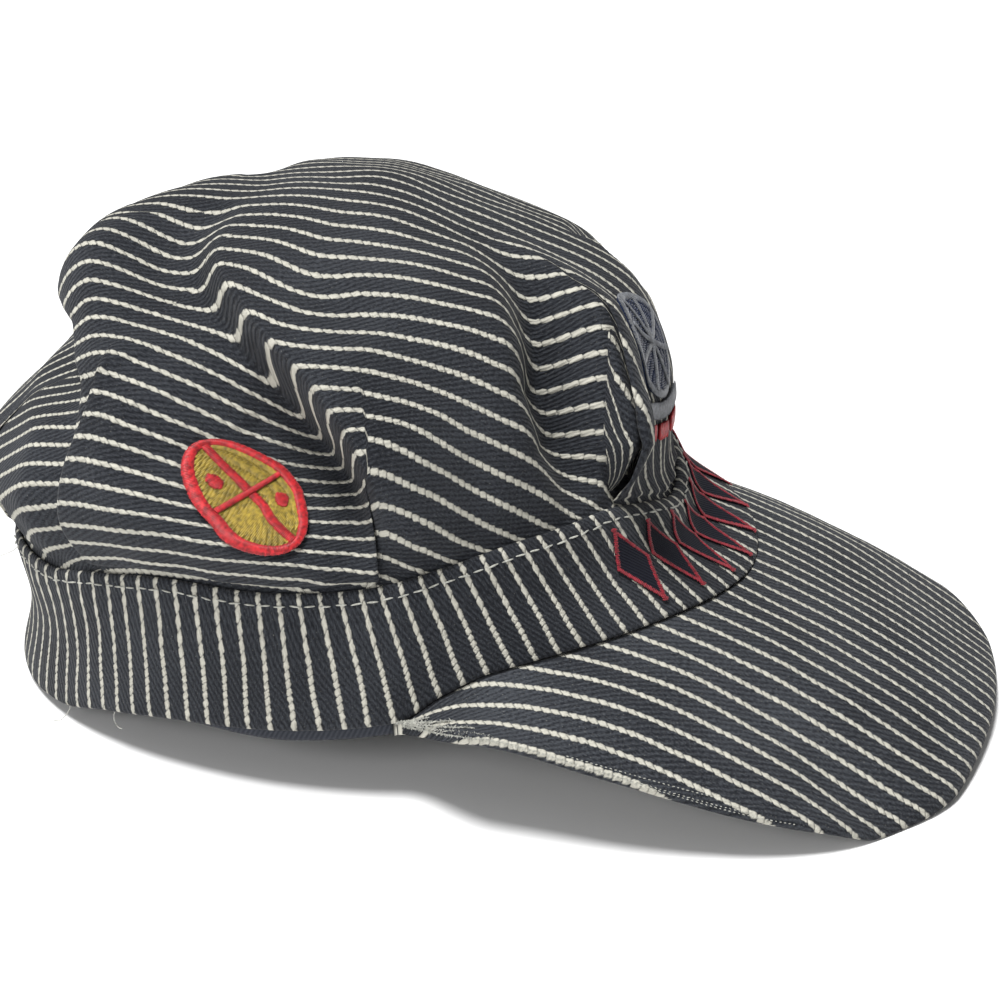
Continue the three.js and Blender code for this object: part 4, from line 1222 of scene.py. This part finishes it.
blue_lines = [laid(emblem_surface, path, half, emblem_stitch_lift) for path, half in blue_rows]
disc_fill = sew("emblem_blue_stitches", blue_lines, 3.3, 0.34, blue_thread, 0.05)
rim_path, rim_half = edge_inwards(oval_outline(emblem_radius, emblem_radius, 0, 140), 2.6)
rim_line = laid(emblem_surface, rim_path, rim_half, emblem_stitch_lift)
rim = sew("emblem_rim", [rim_line], emblem_step, 0.4, grey_thread, 0.05, True)
grey_lines = []
for k in range(spoke_count):
    turn = math.pi * (k + 0.5) / spoke_count
    way = np.array([math.cos(turn), math.sin(turn)])
    spoke_half = np.array([-way[1], way[0]]) * 0.8
    grey_lines.append(laid(emblem_surface, marks * way * (emblem_radius - 2), spoke_half, 1.2 + 0.1 * k))
rail_line = marks * np.array([[rail_size[0] / 2, 0.0]]) - np.array([[0.0, rail_drop]])
grey_lines.append(laid(emblem_surface, rail_line, (0.0, rail_size[1] / 2), rail_stitch_lift))
grey_parts = sew("emblem_spokes_and_rail_thread", grey_lines, emblem_step, 0.36, grey_thread, 0.05)


def shifted(surface, right, above):
    return lambda x, y: surface(x + right, y + above)


rail_cut = cornered_outline(box_corners, rail_size[0] - 0.8, rail_size[1] - 0.8, 10)
rail = patch("emblem_rail_cloth", rail_cut, shifted(emblem_surface, 0, -rail_drop), 0.7, grey_cloth)
tie_cut = cornered_outline(box_corners, tie_size[0] - 0.8, tie_size[1] - 0.8, 5)
tie_line = marks * np.array([[tie_size[0] / 2, 0.0]])
ties = []
tie_lines = []
for k in (-1, 0, 1):
    spot = shifted(emblem_surface, k * tie_step, -tie_drop)
    ties.append(patch("emblem_tie_cloth_" + str(k + 2), tie_cut, spot, 0.7, red_cloth))
    tie_lines.append(laid(spot, tie_line, (0.0, tie_size[1] / 2), rail_stitch_lift))
tie_fill = sew("emblem_tie_thread", tie_lines, emblem_step, 0.38, red_thread, 0.05)
for piece, slot_name in ((disc, "blue_thread"), (disc_fill, "blue_thread"), (rim, "grey_thread"),
                         (grey_parts, "grey_thread"), (rail, "grey_thread"),
                         (tie_fill, "red_satin_thread")):
    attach(piece, "root")
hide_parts("emblem_disc")
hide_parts("emblem_rail")
for k, tie in enumerate(ties):
    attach(tie, "root")
    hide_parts("emblem_tie_" + str(k + 1))


# Band lozenges.
# Seven navy cloth lozenges in a row across the band's front, each sewn down with a red satin edge.
lozenge_size = (12, 23)
lozenge_share = 0.48
lozenge_step = 9.6
lozenge_count = 7
lozenge_corners = [(0.5, 0), (0, 0.5), (-0.5, 0), (0, -0.5)]
lozenge_side_steps = 14
lozenge_edge_lift = 0.7


def band_around(middle_deg, middle_share):
    """Places on the band's face round a middle, in mm to the right and above."""
    side = band_point(np.array([middle_deg - 4.0, middle_deg + 4.0]), middle_share, 0)
    deg_size = np.linalg.norm(side[1] - side[0]) / 8
    share_size = np.linalg.norm(band_point(middle_deg, 1, 0) - band_point(middle_deg, 0, 0))

    def place(right, above):
        deg = middle_deg - np.asarray(right, float) / deg_size
        return band_skin(deg, middle_share + np.asarray(above, float) / share_size, 0)

    return place


navy_cloth = plain_twill("navy_applique_cloth", (0.0015, 0.002, 0.0045), (0.006, 0.007, 0.015))
edge_lines = []
for k in range(lozenge_count):
    surface = band_around(lozenge_step * ((lozenge_count - 1) / 2 - k), lozenge_share)
    outline = cornered_outline(lozenge_corners, lozenge_size[0], lozenge_size[1], lozenge_side_steps)
    lozenge = patch("band_lozenge_cloth_" + str(k + 1), outline * 0.97, surface, 0.6, navy_cloth)
    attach(lozenge, "root")
    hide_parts("band_lozenge_" + str(k + 1))
    for corner in range(4):
        places = corner * lozenge_side_steps + np.arange(lozenge_side_steps + 1)
        side_path = outline[places % len(outline)]
        way = unit(side_path[-1] - side_path[0])
        inward = np.array([-way[1], way[0]])
        edge_lines.append(laid(surface, side_path + inward * 0.5, inward * 0.65, lozenge_edge_lift))
# The lozenges' satin edges take the red thread painted darker, as shade.
lozenge_edges = sew("lozenge_edges", edge_lines, emblem_step, 0.26, shaded_red_thread, 0.14)
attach(lozenge_edges, "root")


# Floor, light and camera.
# A pale studio floor, a soft sun high up, a large lamp at the cap's right to lighten the shadows,
# and a bright surrounding. The camera stands at the cap's right, a little above it.
floor_look = Look("pale_floor", 0.9)
floor_tone = floor_look.noise(floor_look.object_spot(), 3.0)
floor_look.colour(floor_look.mix(floor_tone, (0.90, 0.90, 0.90), (0.92, 0.92, 0.92)))
floor_mesh = bpy.data.meshes.new("floor")
floor_size = 6.0
floor_level = -0.0005
corners = [(floor_size * x, floor_size * y, floor_level) for x, y in ((-1, -1), (1, -1), (1, 1), (-1, 1))]
floor_mesh.from_pydata(corners, [], [(0, 1, 2, 3)])
floor_mesh.materials.append(floor_look.material)
floor = bpy.data.objects.new("floor", floor_mesh)
bpy.context.scene.collection.objects.link(floor)
floor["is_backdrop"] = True

world = bpy.data.worlds.new("studio")
bpy.context.scene.world = world
world.use_nodes = True
world.node_tree.nodes["Background"].inputs["Color"].default_value = (1.0, 1.0, 1.0, 1)
world.node_tree.nodes["Background"].inputs["Strength"].default_value = 0.26
bpy.context.scene.view_settings.view_transform = "Standard"


def lamp(name, kind, way, strength, **settings):
    """A lamp that shines along a direction."""
    data = bpy.data.lights.new(name, kind)
    data.energy = strength
    for key, value in settings.items():
        setattr(data, key, value)
    made = bpy.data.objects.new(name, data)
    made.rotation_mode = "QUATERNION"
    made.rotation_quaternion = Vector(way).to_track_quat("-Z", "Y")
    bpy.context.scene.collection.objects.link(made)
    return made


lamp("key_lamp", "SUN", (0.2, -0.25, -1.35), 4.2, angle=0.36)
fill_lamp = lamp("fill_lamp", "AREA", (1.25, -0.45, -0.55), 8, shape="DISK", size=0.7)
fill_lamp.location = (-1.25, 0.45, 0.6)

camera_place = Vector((-0.64751, -0.17042, 0.35116))
camera_aim = Vector((-0.00344, -0.00399, 0.05003))
camera_data = bpy.data.cameras.new("camera")
camera_data.sensor_width = 36
camera_data.lens = 99.56
camera = bpy.data.objects.new("camera", camera_data)
camera.location = camera_place
camera.rotation_mode = "QUATERNION"
camera.rotation_quaternion = (camera_aim - camera_place).to_track_quat("-Z", "Y")
bpy.context.scene.collection.objects.link(camera)
bpy.context.scene.camera = camera

# The pieces of the side badge and the front emblem, in one list.
patches = [badge, badge_gold, badge_edge, badge_cross]
patches += [disc, disc_fill, rim, grey_parts, rail, tie_fill] + ties

bpy.context.view_layer.update()
low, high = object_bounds()
